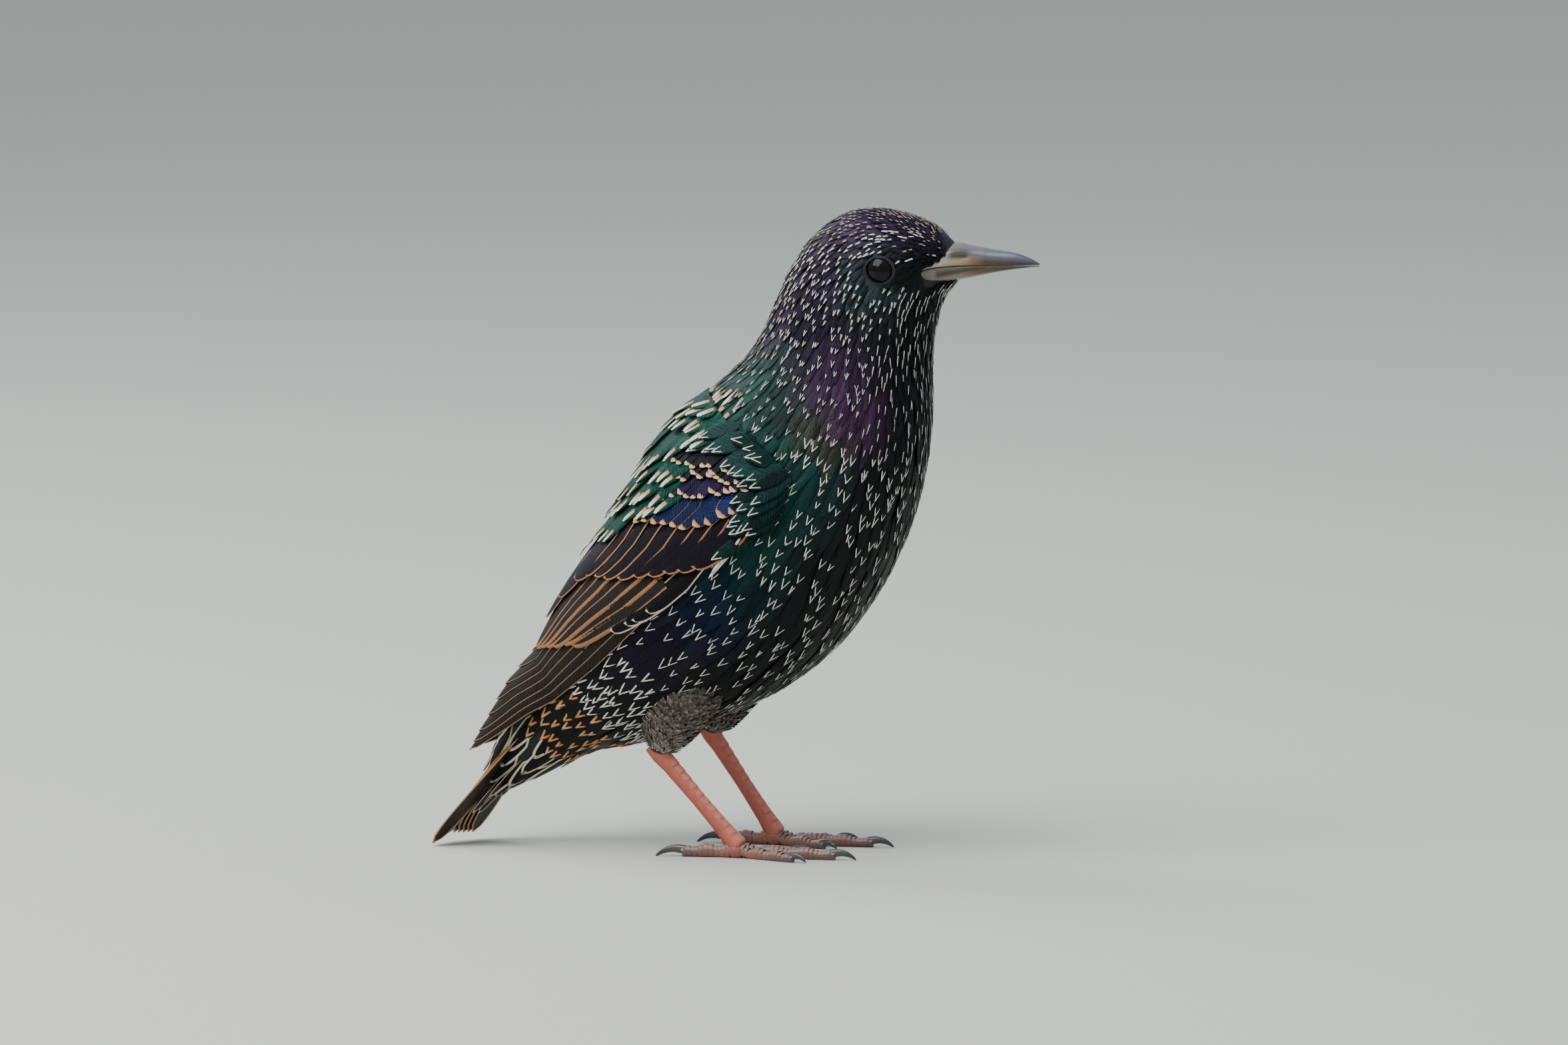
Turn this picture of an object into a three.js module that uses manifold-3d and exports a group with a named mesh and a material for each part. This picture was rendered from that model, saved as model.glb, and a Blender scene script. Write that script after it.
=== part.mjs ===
// A common starling in winter plumage, life size, standing on both feet, head up and wings folded.
// Millimetres. +X is the way the bird faces, +Y its left, +Z up. The floor is at z = 0, and the origin lies
// under the middle of the bird's outline.
import * as THREE from 'three';
import { mergeVertices } from 'three/addons/utils/BufferGeometryUtils.js';
import Module from 'manifold-3d';

const wasm = await Module();
wasm.setup();

const GAP = 0.32; // clear space between touching pieces
const RIGHT = -1; // sign of y on the bird's right side
const LEFT = 1;

// The flesh and body feathers as one form: each rib runs from a point on the back line to one on the breast
// line, both [x, z], and half is half of the body's width there.
const RIBS = {
  tailEnd: { back: [-67, 18.5], front: [-63.6, 12.2], half: 3 },
  tailMid: { back: [-59, 36], front: [-48.5, 18.9], half: 9.5 },
  vent: { back: [-52.5, 47.5], front: [-36.5, 24.6], half: 15 },
  rump: { back: [-48.5, 56.5], front: [-26.5, 26.5], half: 19.5 },
  loin: { back: [-43.2, 66.5], front: [-13.5, 30.8], half: 24.5 },
  belly: { back: [-37, 76.5], front: [-0.5, 35.6], half: 28 },
  keel: { back: [-30.5, 86], front: [13, 42.4], half: 30 },
  side: { back: [-24.5, 95.5], front: [26, 52.8], half: 30.5 },
  chest: { back: [-18.5, 105], front: [36.8, 67], half: 29.8 },
  breast: { back: [-11.5, 113.5], front: [44.3, 82], half: 27.8 },
  collar: { back: [-4.2, 120.8], front: [48.8, 97.5], half: 24.6 },
  neckBase: { back: [2.2, 126.8], front: [50.6, 112], half: 21 },
  neck: { back: [6.9, 133.8], front: [50.7, 124.5], half: 17.6 },
  throat: { back: [10.4, 142], front: [51.5, 133.6], half: 15.2 },
  nape: { back: [13.9, 149.6], front: [53.1, 139.9], half: 13.9 },
  cheek: { back: [19.2, 157.4], front: [54.8, 143.7], half: 12.9 },
  crown: { back: [26.4, 163.1], front: [56.6, 145.6], half: 12.1 },
  top: { back: [34, 165.3], front: [58.3, 146.9], half: 10.8 },
  brow: { back: [42.6, 164.6], front: [59.6, 147.8], half: 8.6 },
  forehead: { back: [50.4, 162], front: [60, 148.6], half: 6.1 },
  face: { back: [55.2, 158.6], front: [59.4, 149.6], half: 4.2 },
};
const RIB_LIST = Object.values(RIBS);
const RIB_NAMES = Object.keys(RIBS);

// The body's own frame in the side view: u runs up the folded wing from its tip, v towards the back.
const WING_TIP = [-69, 25.5];
const BODY_TILT = THREE.MathUtils.degToRad(50);
const ALONG = [Math.cos(BODY_TILT), Math.sin(BODY_TILT)];
const ACROSS = [-Math.sin(BODY_TILT), Math.cos(BODY_TILT)];

const PLUMAGE = { color: 0x15181c, roughness: 0.45 };
const WING_FINISH = { color: 0x4a3626, roughness: 0.6 };
const TAIL_FINISH = { color: 0x3a2d24, roughness: 0.6 };
const BILL_FINISH = { color: 0x6f6a6b, roughness: 0.4 };
const LEG_FINISH = { color: 0xb65a48, roughness: 0.5 };
const CLAW_FINISH = { color: 0x3b3a3f, roughness: 0.35 };
const EYE_FINISH = { color: 0x0c0908, roughness: 0.08 };

// Joining and cutting

function solidFrom(positions, faces) {
  const geometry = new THREE.BufferGeometry();
  geometry.setAttribute('position', new THREE.Float32BufferAttribute(positions, 3));
  geometry.setIndex(faces);
  return solidOf(geometry);
}

function solidOf(source) {
  const plain = source.clone();
  for (const name of Object.keys(plain.attributes)) {
    if (name !== 'position') plain.deleteAttribute(name);
  }
  const merged = mergeVertices(plain, 1e-4);
  return new wasm.Manifold(new wasm.Mesh({
    numProp: 3,
    vertProperties: new Float32Array(merged.attributes.position.array),
    triVerts: new Uint32Array(merged.index.array),
  }));
}

function geometryOf(solid) {
  const mesh = solid.getMesh();
  const geometry = new THREE.BufferGeometry();
  geometry.setAttribute('position', new THREE.BufferAttribute(new Float32Array(mesh.vertProperties), 3));
  geometry.setIndex(new THREE.BufferAttribute(new Uint32Array(mesh.triVerts), 1));
  return geometry;
}

// The largest closed body of a solid, so that loose scraps of a cut are dropped.
function largest(solid) {
  return solid.decompose().sort((a, b) => b.volume() - a.volume())[0];
}

function joined(pieces) {
  return pieces.reduce((whole, piece) => whole.add(piece));
}

const FINE = 0.03; // how far a surface may move when needless triangles are taken out
const COARSE = 0.165;
const PART_BY = 0.03;
const group = new THREE.Group();

// Corners of one solid that lie on the same spot are drawn a hair into the material, so that no two of its
// surfaces touch there.
function partCorners(geometry) {
  geometry.computeVertexNormals();
  const { position, normal } = geometry.attributes;
  const corners = new Map();
  for (let i = 0; i < position.count; i++) {
    const place = [position.getX(i), position.getY(i), position.getZ(i)];
    const spot = place.map((v) => Math.round(v * 200)).join();
    corners.set(spot, [...(corners.get(spot) || []), i]);
  }
  const point = new THREE.Vector3();
  const away = new THREE.Vector3();
  for (const copies of corners.values()) {
    if (copies.length < 2) continue;
    for (const i of copies) {
      point.fromBufferAttribute(position, i).addScaledVector(away.fromBufferAttribute(normal, i), -PART_BY);
      position.setXYZ(i, ...point.toArray());
    }
  }
  geometry.deleteAttribute('normal');
  return geometry;
}

function place(name, solid, finish, fine = FINE) {
  const clean = largest(solid.asOriginal().simplify(fine));
  const mesh = new THREE.Mesh(partCorners(geometryOf(clean)), new THREE.MeshStandardMaterial(finish));
  mesh.name = name;
  group.add(mesh);
  return mesh;
}

// The same piece on the bird's other side.
function placeMirrored(name, mesh) {
  const geometry = mesh.geometry.clone().scale(1, -1, 1);
  geometry.setIndex(flipped(Array.from(geometry.index.array)));
  const twin = new THREE.Mesh(geometry, mesh.material.clone());
  twin.name = name;
  group.add(twin);
}

// Lofts: rings of points, each ring a list of [x, y, z], closed by a point at each end.
function loft(rings) {
  const around = rings[0].length;
  const positions = [];
  const faces = [];
  for (const ring of rings) {
    for (const point of ring) positions.push(...point);
  }
  for (let i = 0; i + 1 < rings.length; i++) {
    for (let j = 0; j < around; j++) {
      const a = i * around + j;
      const b = i * around + (j + 1) % around;
      faces.push(a, b, b + around, a, b + around, a + around);
    }
  }
  for (const [ring, flip] of [[0, true], [rings.length - 1, false]]) {
    const centre = [0, 1, 2].map((k) => rings[ring].reduce((sum, p) => sum + p[k], 0) / around);
    const hub = positions.length / 3;
    positions.push(...centre);
    for (let j = 0; j < around; j++) {
      const a = ring * around + j;
      const b = ring * around + (j + 1) % around;
      faces.push(...(flip ? [hub, b, a] : [hub, a, b]));
    }
  }
  const made = solidFrom(positions, faces);
  return made.volume() > 0 ? made : solidFrom(positions, flipped(faces));
}

function flipped(faces) {
  const turned = [];
  for (let i = 0; i < faces.length; i += 3) turned.push(faces[i], faces[i + 2], faces[i + 1]);
  return turned;
}

// Uniform Catmull-Rom through a list of equal-length number lists, at t from 0 to the last index.
function through(keys, t) {
  const i = Math.min(Math.floor(t), keys.length - 2);
  const f = t - i;
  const at = (k) => keys[Math.max(0, Math.min(keys.length - 1, k))];
  return keys[0].map((_, c) => {
    const [a, b, d, e] = [at(i - 1)[c], at(i)[c], at(i + 1)[c], at(i + 2)[c]];
    const [square, cube] = [2 * a - 5 * b + 4 * d - e, 3 * b - a - 3 * d + e];
    return 0.5 * (2 * b + (d - a) * f + square * f * f + cube * f ** 3);
  });
}

// The body's form

function ribAt(t) {
  const [bx, bz, fx, fz, half] = through(RIB_LIST.map((r) => [...r.back, ...r.front, r.half]), t);
  return { back: [bx, bz], front: [fx, fz], half };
}

function bodyRing(t, grow, around) {
  const { back, front, half } = ribAt(t);
  const centre = [(back[0] + front[0]) / 2, (back[1] + front[1]) / 2];
  const reach = [(back[0] - front[0]) / 2, (back[1] - front[1]) / 2];
  const stretch = 1 + grow / Math.hypot(...reach);
  return Array.from({ length: around }, (_, j) => {
    const angle = (2 * Math.PI * j) / around;
    const up = Math.cos(angle) * stretch;
    return [centre[0] + reach[0] * up, (half + grow) * Math.sin(angle), centre[1] + reach[1] * up];
  });
}

const BODY_AROUND = 26;
const RINGS_PER_RIB = 2;

function bodyLoft(grow) {
  const rings = [];
  const count = (RIB_LIST.length - 1) * RINGS_PER_RIB;
  for (let k = 0; k <= count; k++) rings.push(bodyRing(k / RINGS_PER_RIB, grow, BODY_AROUND));
  return loft(rings);
}

// The part of a solid between two ribs, with half the gap left off at each. A missing rib leaves that end
// whole.
function betweenRibs(solid, lower, upper) {
  let cut = solid;
  for (const [name, sign] of [[lower, 1], [upper, -1]]) {
    if (!name) continue;
    const { back, front } = RIBS[name];
    const run = [back[0] - front[0], back[1] - front[1]];
    const length = Math.hypot(...run);
    const normal = [run[1] / length, 0, -run[0] / length];
    const offset = normal[0] * back[0] + normal[2] * back[1];
    cut = cut.trimByPlane(normal.map((n) => n * sign), sign * offset + GAP / 2);
  }
  return cut;
}

const body = bodyLoft(0);
const bodyWithGap = bodyLoft(GAP);

// Distance from the body's axis to its surface, by rays, on a coarse grid of u and the angle from the back.

const AXIS_POINTS = [[0, -12], [20, -12], [44, -16], [68, -21], [92, -24], [115, -24]];
const GRID_U = 5;
const GRID_ANGLE = 10;

function axisHeight(u) {
  const k = AXIS_POINTS.findIndex((p) => p[0] >= u);
  if (k < 0) return AXIS_POINTS.at(-1)[1];
  if (k === 0) return AXIS_POINTS[0][1];
  const [a, b] = [AXIS_POINTS[k - 1], AXIS_POINTS[k]];
  return a[1] + ((b[1] - a[1]) * (u - a[0])) / (b[0] - a[0]);
}

function sidePoint(u, v) {
  return [WING_TIP[0] + ALONG[0] * u + ACROSS[0] * v, WING_TIP[1] + ALONG[1] * u + ACROSS[1] * v];
}

function outward(angle) {
  const turn = THREE.MathUtils.degToRad(angle);
  return new THREE.Vector3(ACROSS[0] * Math.cos(turn), Math.sin(turn), ACROSS[1] * Math.cos(turn));
}

function measureBody() {
  const target = new THREE.Mesh(geometryOf(body), new THREE.MeshBasicMaterial({ side: THREE.DoubleSide }));
  const caster = new THREE.Raycaster();
  const rows = [];
  for (let u = -10; u <= 115; u += GRID_U) {
    const [x, z] = sidePoint(u, axisHeight(u));
    const row = [];
    for (let angle = 0; angle <= 130; angle += GRID_ANGLE) {
      caster.set(new THREE.Vector3(x, 0, z), outward(angle));
      const hits = caster.intersectObject(target);
      row.push(hits.length % 2 ? hits.at(-1).distance : 0);
    }
    rows.push(row);
  }
  return rows;
}

const measured = measureBody();
const TIP_RADIUS = 13.2; // of the saddle that the wing tips lie on
const TIP_TAPER = 0.115; // how much wider it is for each millimetre up the wing
const SADDLE_END = 42; // from here up only the body's own width counts

// Radius of the surface that the folded wing lies on.
function saddle(u, angle) {
  const row = (u + 10) / GRID_U;
  const i = Math.max(0, Math.min(measured.length - 2, Math.floor(row)));
  const col = Math.min(12.999, Math.max(0, angle / GRID_ANGLE));
  const j = Math.floor(col);
  const [f, g] = [Math.min(1, row - i), col - j];
  const at = (r) => measured[r][j] * (1 - g) + measured[r][j + 1] * g;
  const flesh = at(i) * (1 - f) + at(i + 1) * f;
  const tip = u < SADDLE_END ? TIP_RADIUS + TIP_TAPER * u : 0;
  return Math.max(flesh, tip);
}

function onSaddle(u, angle, lift, side) {
  const [x, z] = sidePoint(u, axisHeight(u));
  const way = outward(angle);
  const r = saddle(u, angle) + lift;
  return [x + way.x * r, side * way.y * r, z + way.z * r];
}

// A vane is a thin closed plate along a line on the saddle. Its root is sunk into what it grows from, and its
// rows get narrower to a round tip.
const VANE_ROWS = [[0, 0.55], [0.4, 0.95], [0.78, 0.95], [0.94, 0.62], [1, 0.16]];
const LONG_ROWS = [[0, 0.5], [0.3, 0.92], [0.6, 1], [0.82, 0.9], [0.94, 0.6], [1, 0.14]];

function plate(rows, columns, pointAt) {
  const positions = [];
  const faces = [];
  const id = (face, i, j) => (face * rows + i) * columns + j;
  for (const face of [0, 1]) {
    for (let i = 0; i < rows; i++) {
      for (let j = 0; j < columns; j++) positions.push(...pointAt(i, j, face));
    }
  }
  for (let i = 0; i + 1 < rows; i++) {
    for (let j = 0; j + 1 < columns; j++) {
      const [a, b, c, d] = [id(1, i, j), id(1, i, j + 1), id(1, i + 1, j + 1), id(1, i + 1, j)];
      faces.push(a, b, c, a, c, d);
      const [e, f, g, h] = [id(0, i, j), id(0, i, j + 1), id(0, i + 1, j + 1), id(0, i + 1, j)];
      faces.push(e, g, f, e, h, g);
    }
  }
  const rim = [];
  for (let j = 0; j < columns - 1; j++) rim.push([0, j]);
  for (let i = 0; i < rows - 1; i++) rim.push([i, columns - 1]);
  for (let j = columns - 1; j > 0; j--) rim.push([rows - 1, j]);
  for (let i = rows - 1; i > 0; i--) rim.push([i, 0]);
  rim.forEach(([i, j], k) => {
    const [m, n] = rim[(k + 1) % rim.length];
    faces.push(id(0, i, j), id(0, m, n), id(1, m, n), id(0, i, j), id(1, m, n), id(1, i, j));
  });
  const made = solidFrom(positions, faces);
  return made.volume() > 0 ? made : solidFrom(positions, flipped(faces));
}

const STAGGER = 0.017; // keeps the faces of neighbouring vanes off one another

function wingVane({ root, tip, width, lift, thick, tilt, rows, bow = 0 }, side, stagger) {
  const shape = rows || VANE_ROWS;
  const mean = saddle((root[0] + tip[0]) / 2, (root[1] + tip[1]) / 2);
  const run = [tip[0] - root[0], THREE.MathUtils.degToRad(tip[1] - root[1]) * mean];
  const length = Math.hypot(...run);
  const cross = [-run[1] / length, run[0] / length];
  return plate(shape.length, 3, (i, j, face) => {
    const [s, wide] = shape[i];
    const off = ((j - 1) * width * wide) / 2;
    const u = root[0] + (tip[0] - root[0]) * s + cross[0] * off;
    const turn = THREE.MathUtils.radToDeg((cross[1] * off) / mean);
    const angle = root[1] + (tip[1] - root[1]) * s + bow * Math.sin(Math.PI * s) + turn;
    const crown = j === 1 ? thick * 0.35 : 0;
    const rise = lift[0] + (lift[1] - lift[0]) * s + (tilt * (j - 1)) / 2 + crown + stagger;
    return onSaddle(u, angle, rise + face * thick, side);
  });
}

// The folded wing's tiers. A root or tip is [u, angle from the back in degrees]. The outer flight feathers
// lie lowest, and each tier lies on the one behind it.
const WING_PLATE = {
  thick: 1.1, rise: 0.45,
  top: [[34, 24], [60, 18], [84, 20], [112, 36]],
  low: [[34, 68], [60, 79], [84, 84], [112, 60]],
};
const PRIMARY_TIPS = [[0, 34], [2.5, 32], [6.5, 30], [11.5, 27], [17.5, 24], [24, 21], [30, 19]];
const SECONDARY_TIPS = [[42, 62], [38.5, 52], [35.5, 43], [33, 34], [32, 26]];
const TERTIAL_TIPS = [[40, 18], [47, 24], [54, 31]];
const GREATER_TIPS = [[80, 80], [75, 74], [70.5, 68], [66, 61], [61, 52], [58, 42], [56, 32]];
const MEDIAN_TIPS = [[97, 74], [91, 70], [86, 64], [83, 57], [80, 49], [77, 41]];
const LESSER_TIPS = [[104, 66], [99, 59], [94, 52], [108, 54], [103, 48], [98, 41]];
const PRIMARY_COVERT_TIPS = [[53, 76], [58, 79], [63, 81]];
const SCAPULAR_TIPS = [[62, 15], [65, 24], [69, 33], [76, 42], [84, 46], [91, 36], [80, 27]];

function tier(tips, make) {
  return tips.map((tip, i) => make(tip, i / Math.max(1, tips.length - 1)));
}

function wingVanes() {
  return [
    ...tier(PRIMARY_TIPS, (tip, f) => ({
      root: [66 - 4 * f, 79 - 34 * f], tip, bow: 14 * (1 - f) ** 1.5, width: 8.5 - f,
      lift: [0.5, 0.3 + 1.1 * f], thick: 0.6, tilt: 0.5, rows: LONG_ROWS,
    })),
    ...tier(PRIMARY_COVERT_TIPS, (tip) => ({
      root: [77 + tip[0] / 50, 82], tip, width: 6, lift: [0.7, 1.2], thick: 0.6, tilt: 0.4,
    })),
    ...tier(SECONDARY_TIPS, (tip, f) => ({
      root: [72 - 2 * f, 76 - 38 * f], tip, width: 9, lift: [0.8, 1.25 + 0.5 * f],
      thick: 0.6, tilt: 0.5, rows: LONG_ROWS,
    })),
    ...tier(TERTIAL_TIPS, (tip, f) => ({
      root: [76, 28 + 12 * f], tip, width: 10, lift: [1, 2.1 + 0.2 * f], thick: 0.6, tilt: 0.5,
    })),
    ...tier(GREATER_TIPS, (tip, f) => ({
      root: [tip[0] + 23, tip[1] + 2 - 4 * f], tip, width: 8, lift: [0.9, 1.9], thick: 0.6, tilt: 0.5,
    })),
    ...tier(MEDIAN_TIPS, (tip) => ({
      root: [tip[0] + 13, tip[1] - 2], tip, width: 8, lift: [0.8, 1.9], thick: 0.6, tilt: 0.5,
    })),
    ...tier(LESSER_TIPS, (tip) => ({
      root: [tip[0] + 10, tip[1] - 3], tip, width: 8, lift: [0.7, 2.1], thick: 0.6, tilt: 0.4,
    })),
    ...tier(SCAPULAR_TIPS, (tip) => ({
      root: [Math.min(tip[0] + 20, 108), tip[1] + 2], tip, width: 8, lift: [0.9, 2.7], thick: 0.6, tilt: 0.4,
    })),
  ];
}

function lineThrough(points, u) {
  const k = points.findIndex((p) => p[0] >= u);
  const j = k < 0 ? points.length - 1 : Math.max(1, k);
  const [a, b] = [points[j - 1], points[j]];
  return a[1] + ((b[1] - a[1]) * (u - a[0])) / (b[0] - a[0]);
}

function wingPlate(side) {
  const rows = 9;
  const columns = 6;
  const { top, low, thick, rise } = WING_PLATE;
  return plate(rows, columns, (i, j, face) => {
    const u = top[0][0] + ((top.at(-1)[0] - top[0][0]) * i) / (rows - 1);
    const from = lineThrough(top, u);
    const angle = from + ((lineThrough(low, u) - from) * j) / (columns - 1);
    const edge = i === 0 || i === rows - 1 || j === 0 || j === columns - 1;
    return onSaddle(u, angle, rise + face * (edge ? 0.5 : thick), side);
  });
}

function wing(side) {
  const vanes = wingVanes().map((vane, i) => wingVane(vane, side, STAGGER * (i % 5)));
  return joined([wingPlate(side), ...vanes]).subtract(bodyWithGap);
}

// The tail: twelve vanes from the tail core in two folded halves, with coverts above and below their roots.
const TAIL = {
  root: [-45, 43.5], tip: [-78, -0.4], roll: THREE.MathUtils.degToRad(20),
  thick: 0.55, long: 0.948, skew: 0.052,
};
const TAIL_HALF = 6; // feathers on each side
const TAIL_SPREAD = { root: 0.5, tip: 1.35 }; // sideways step from feather to feather, in mm
const TAIL_WIDTH = 9;

function tailPoint(s, sideways, rise) {
  const run = [TAIL.tip[0] - TAIL.root[0], TAIL.tip[1] - TAIL.root[1]];
  const length = Math.hypot(...run);
  const up = [run[1] / length, -run[0] / length];
  const lift = rise * Math.cos(TAIL.roll) - sideways * Math.sin(TAIL.roll) * s;
  const y = sideways * Math.cos(TAIL.roll) + rise * Math.sin(TAIL.roll);
  return [TAIL.root[0] + run[0] * s + up[0] * -lift, y, TAIL.root[1] + run[1] * s + up[1] * -lift];
}

function tailVane({ side, step, long, low, width, from, rows }) {
  const shape = rows || LONG_ROWS;
  return plate(shape.length, 3, (i, j, face) => {
    const [f, wide] = shape[i];
    const s = from + (long - from) * f;
    const centre = side * step * (TAIL_SPREAD.root + (TAIL_SPREAD.tip - TAIL_SPREAD.root) * s);
    const sideways = centre + ((j - 1) * width * wide) / 2;
    const crown = j === 1 ? 0.2 : 0;
    return tailPoint(s, sideways, low(f) + crown + face * TAIL.thick);
  });
}

function tailVanes() {
  const vanes = [];
  for (const side of [RIGHT, LEFT]) {
    for (let k = 0; k < TAIL_HALF; k++) {
      const step = k + 0.5;
      const long = TAIL.long - (TAIL.skew * side * step) / TAIL_HALF;
      const low = () => 0.4 - 0.42 * k + 0.06 * side;
      vanes.push(tailVane({ side, step, long, low, from: 0, width: TAIL_WIDTH }));
    }
  }
  return vanes;
}

const UNDER_COVERTS = [
  { from: 0.12, long: 0.74, steps: [1.4], drop: -6.2, rest: -3, width: 8 },
  { from: 0.06, long: 0.6, steps: [2.6], drop: -8.2, rest: -5.4, width: 8.5 },
  { from: -0.02, long: 0.44, steps: [0.6, 3.8], drop: -10.6, rest: -8, width: 8.5 },
];
const UPPER_COVERTS = { from: -0.1, long: 0.42, steps: [0.8, 3, 5.4], drop: 3.2, rest: 0.9, width: 8 };

function covertVanes() {
  return [...UNDER_COVERTS, UPPER_COVERTS].flatMap(({ from, long, steps, drop, rest, width }) => (
    steps.flatMap((step) => [RIGHT, LEFT].map((side) => tailVane({
      side, step, long: long - 0.02 * step, from, width, rows: VANE_ROWS,
      low: (f) => (drop + (rest - drop) * f) * (1 - 0.02 * step),
    })))
  ));
}

function tail() {
  const pieces = [body, ...tailVanes(), ...covertVanes()];
  return betweenRibs(joined(pieces), null, 'vent').trimByPlane([0, 0, 1], 0.4);
}

// The head: lids round sunk eyes, and the bill with its nostrils and the line of the mouth.
const EYE = { at: [39.6, 150.4], radius: 4.1, seen: 3.25, out: 12.1 };
const LID = { tube: 0.5, around: 16, sides: 5 };

function ball(centre, radius, turns = 16) {
  const sphere = new THREE.SphereGeometry(radius, turns, Math.round(turns / 2) + 1);
  return solidOf(sphere.rotateX(Math.PI / 2).translate(...centre));
}

function eyeCentre(side) {
  const depth = Math.sqrt(EYE.radius ** 2 - EYE.seen ** 2);
  return [EYE.at[0], side * (EYE.out - depth), EYE.at[1]];
}

function lid(side) {
  const ring = new THREE.TorusGeometry(EYE.seen + LID.tube * 0.7, LID.tube, LID.sides, LID.around);
  ring.rotateX(Math.PI / 2).scale(1.04, 1.5, 0.98);
  return solidOf(ring.translate(EYE.at[0], side * (EYE.out + 0.1), EYE.at[1]));
}

function head() {
  const flesh = betweenRibs(body, 'nape', null);
  const sockets = [RIGHT, LEFT].map((side) => ball(eyeCentre(side), EYE.radius + GAP));
  const lids = [RIGHT, LEFT].map((side) => lid(side));
  return joined([flesh, ...lids]).subtract(joined(sockets));
}

// Bill stations: x, the ridge, the line of the mouth, the keel of the lower half, and half of the width.
const BILL_STATIONS = [
  [47.5, 152.6, 149.2, 145.6, 6.6],
  [51, 154, 149.9, 145.8, 6.9],
  [54.5, 155.8, 150.5, 146.3, 6.1],
  [58, 156.9, 150.8, 147.1, 4.6],
  [62, 156.1, 150.9, 148.1, 3.5],
  [66.8, 155.3, 151, 149.1, 2.6],
  [72, 154.6, 151.2, 150.1, 1.8],
  [75.8, 153.4, 151.4, 150.75, 1.05],
  [78.6, 151.95, 151.5, 151.2, 0.36],
];
const BILL_HALF_TURN = 6; // sides from one edge of a half over its ridge to the other
const NOSTRIL = { at: [59, 154.2], long: 1.9, high: 0.75, deep: 1 };

function billHalf(upper) {
  const rings = BILL_STATIONS.map(([x, ridge, mouth, keel, half]) => {
    const edge = mouth + (upper ? GAP / 2 : -GAP / 2);
    const far = upper ? ridge : keel;
    return Array.from({ length: 2 * BILL_HALF_TURN }, (_, j) => {
      const flat = j > BILL_HALF_TURN;
      const turn = (Math.PI * (flat ? 2 * BILL_HALF_TURN - j : j)) / BILL_HALF_TURN;
      const y = half * Math.cos(turn) * (upper ? 1 : 0.93);
      return [x, y, flat ? edge : edge + (far - edge) * Math.sin(turn) ** 0.85];
    });
  });
  return loft(rings);
}

function nostril(side) {
  const pit = new THREE.SphereGeometry(1, 12, 8).scale(NOSTRIL.long, NOSTRIL.deep, NOSTRIL.high);
  return solidOf(pit.rotateY(0.12).translate(NOSTRIL.at[0], side * 3.75, NOSTRIL.at[1]));
}

// Legs

const THIGH = {
  right: { top: [-9, -13, 48], hock: [-17.5, -14, 26.5] },
  left: { top: [-3, 13, 50], hock: [-10.5, 13.5, 29] },
};
const THIGH_STATIONS = [[0, 11, 9], [0.35, 10, 7.6], [0.7, 6.8, 5.6], [0.92, 4.3, 3.9], [1, 3.2, 3]];

// A tube of ellipses along a line: stations are [share of the line, half depth fore and aft, half width].
function limb(from, to, stations, around) {
  const run = new THREE.Vector3(...to).sub(new THREE.Vector3(...from));
  const way = run.clone().normalize();
  const wide = new THREE.Vector3(0, 1, 0);
  const deep = new THREE.Vector3().crossVectors(wide, way).normalize();
  const rings = stations.map(([s, depth, width]) => Array.from({ length: around }, (_, j) => {
    const angle = (2 * Math.PI * j) / around;
    const centre = new THREE.Vector3(...from).addScaledVector(run, s);
    centre.addScaledVector(deep, depth * Math.cos(angle));
    return centre.addScaledVector(wide, width * Math.sin(angle)).toArray();
  }));
  return loft(rings);
}

const LEGS = {
  right: { side: RIGHT, hock: [-16.6, -14, 25.6], ankle: [3.2, -14.3, 3.1], turn: 2 },
  left: { side: LEFT, hock: [-9.8, 13.5, 28], ankle: [6.6, 14.3, 3.1], turn: -2 },
};
const TARSUS_STATIONS = [
  [-0.2, 2.2, 1.7], [0, 2.5, 1.9], [0.12, 2.1, 1.5], [0.5, 1.85, 1.3],
  [0.84, 2.1, 1.5], [0.95, 2.5, 2.3], [1, 2.2, 2.5],
];
const FOOT_PAD = { radius: 2.7, high: 2.3 };

// Toes: direction from straight ahead in degrees (outward is positive), length to the claw, and joints.
const TOES = {
  hind: { way: 178, length: 12.5, joints: 2, thick: 1.75, claw: 8.5 },
  inner: { way: -24, length: 14.5, joints: 2, thick: 1.45, claw: 5.6 },
  middle: { way: 2, length: 24, joints: 3, thick: 1.6, claw: 7 },
  outer: { way: 27, length: 16.5, joints: 3, thick: 1.4, claw: 5.6 },
};
const TOE_ROOT = 1.6; // from the middle of the foot to the start of a toe
const TOE_SIDES = 10;

function toeDirection(leg, toe) {
  const turn = THREE.MathUtils.degToRad(leg.side * toe.way + leg.turn);
  return [Math.cos(turn), Math.sin(turn)];
}

function toeFrame(leg, toe, along, aside, up) {
  const [cx, cy] = toeDirection(leg, toe);
  return [leg.ankle[0] + cx * along - cy * aside, leg.ankle[1] + cy * along + cx * aside, up];
}

// Half height of a toe at a share of its length: a swelling pad under each joint and a thinner waist between.
function toeThickness(toe, s) {
  const swell = 0.13 * Math.cos(2 * Math.PI * s * toe.joints);
  return toe.thick * (1 - 0.22 * s) * (1 + swell);
}

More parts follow.
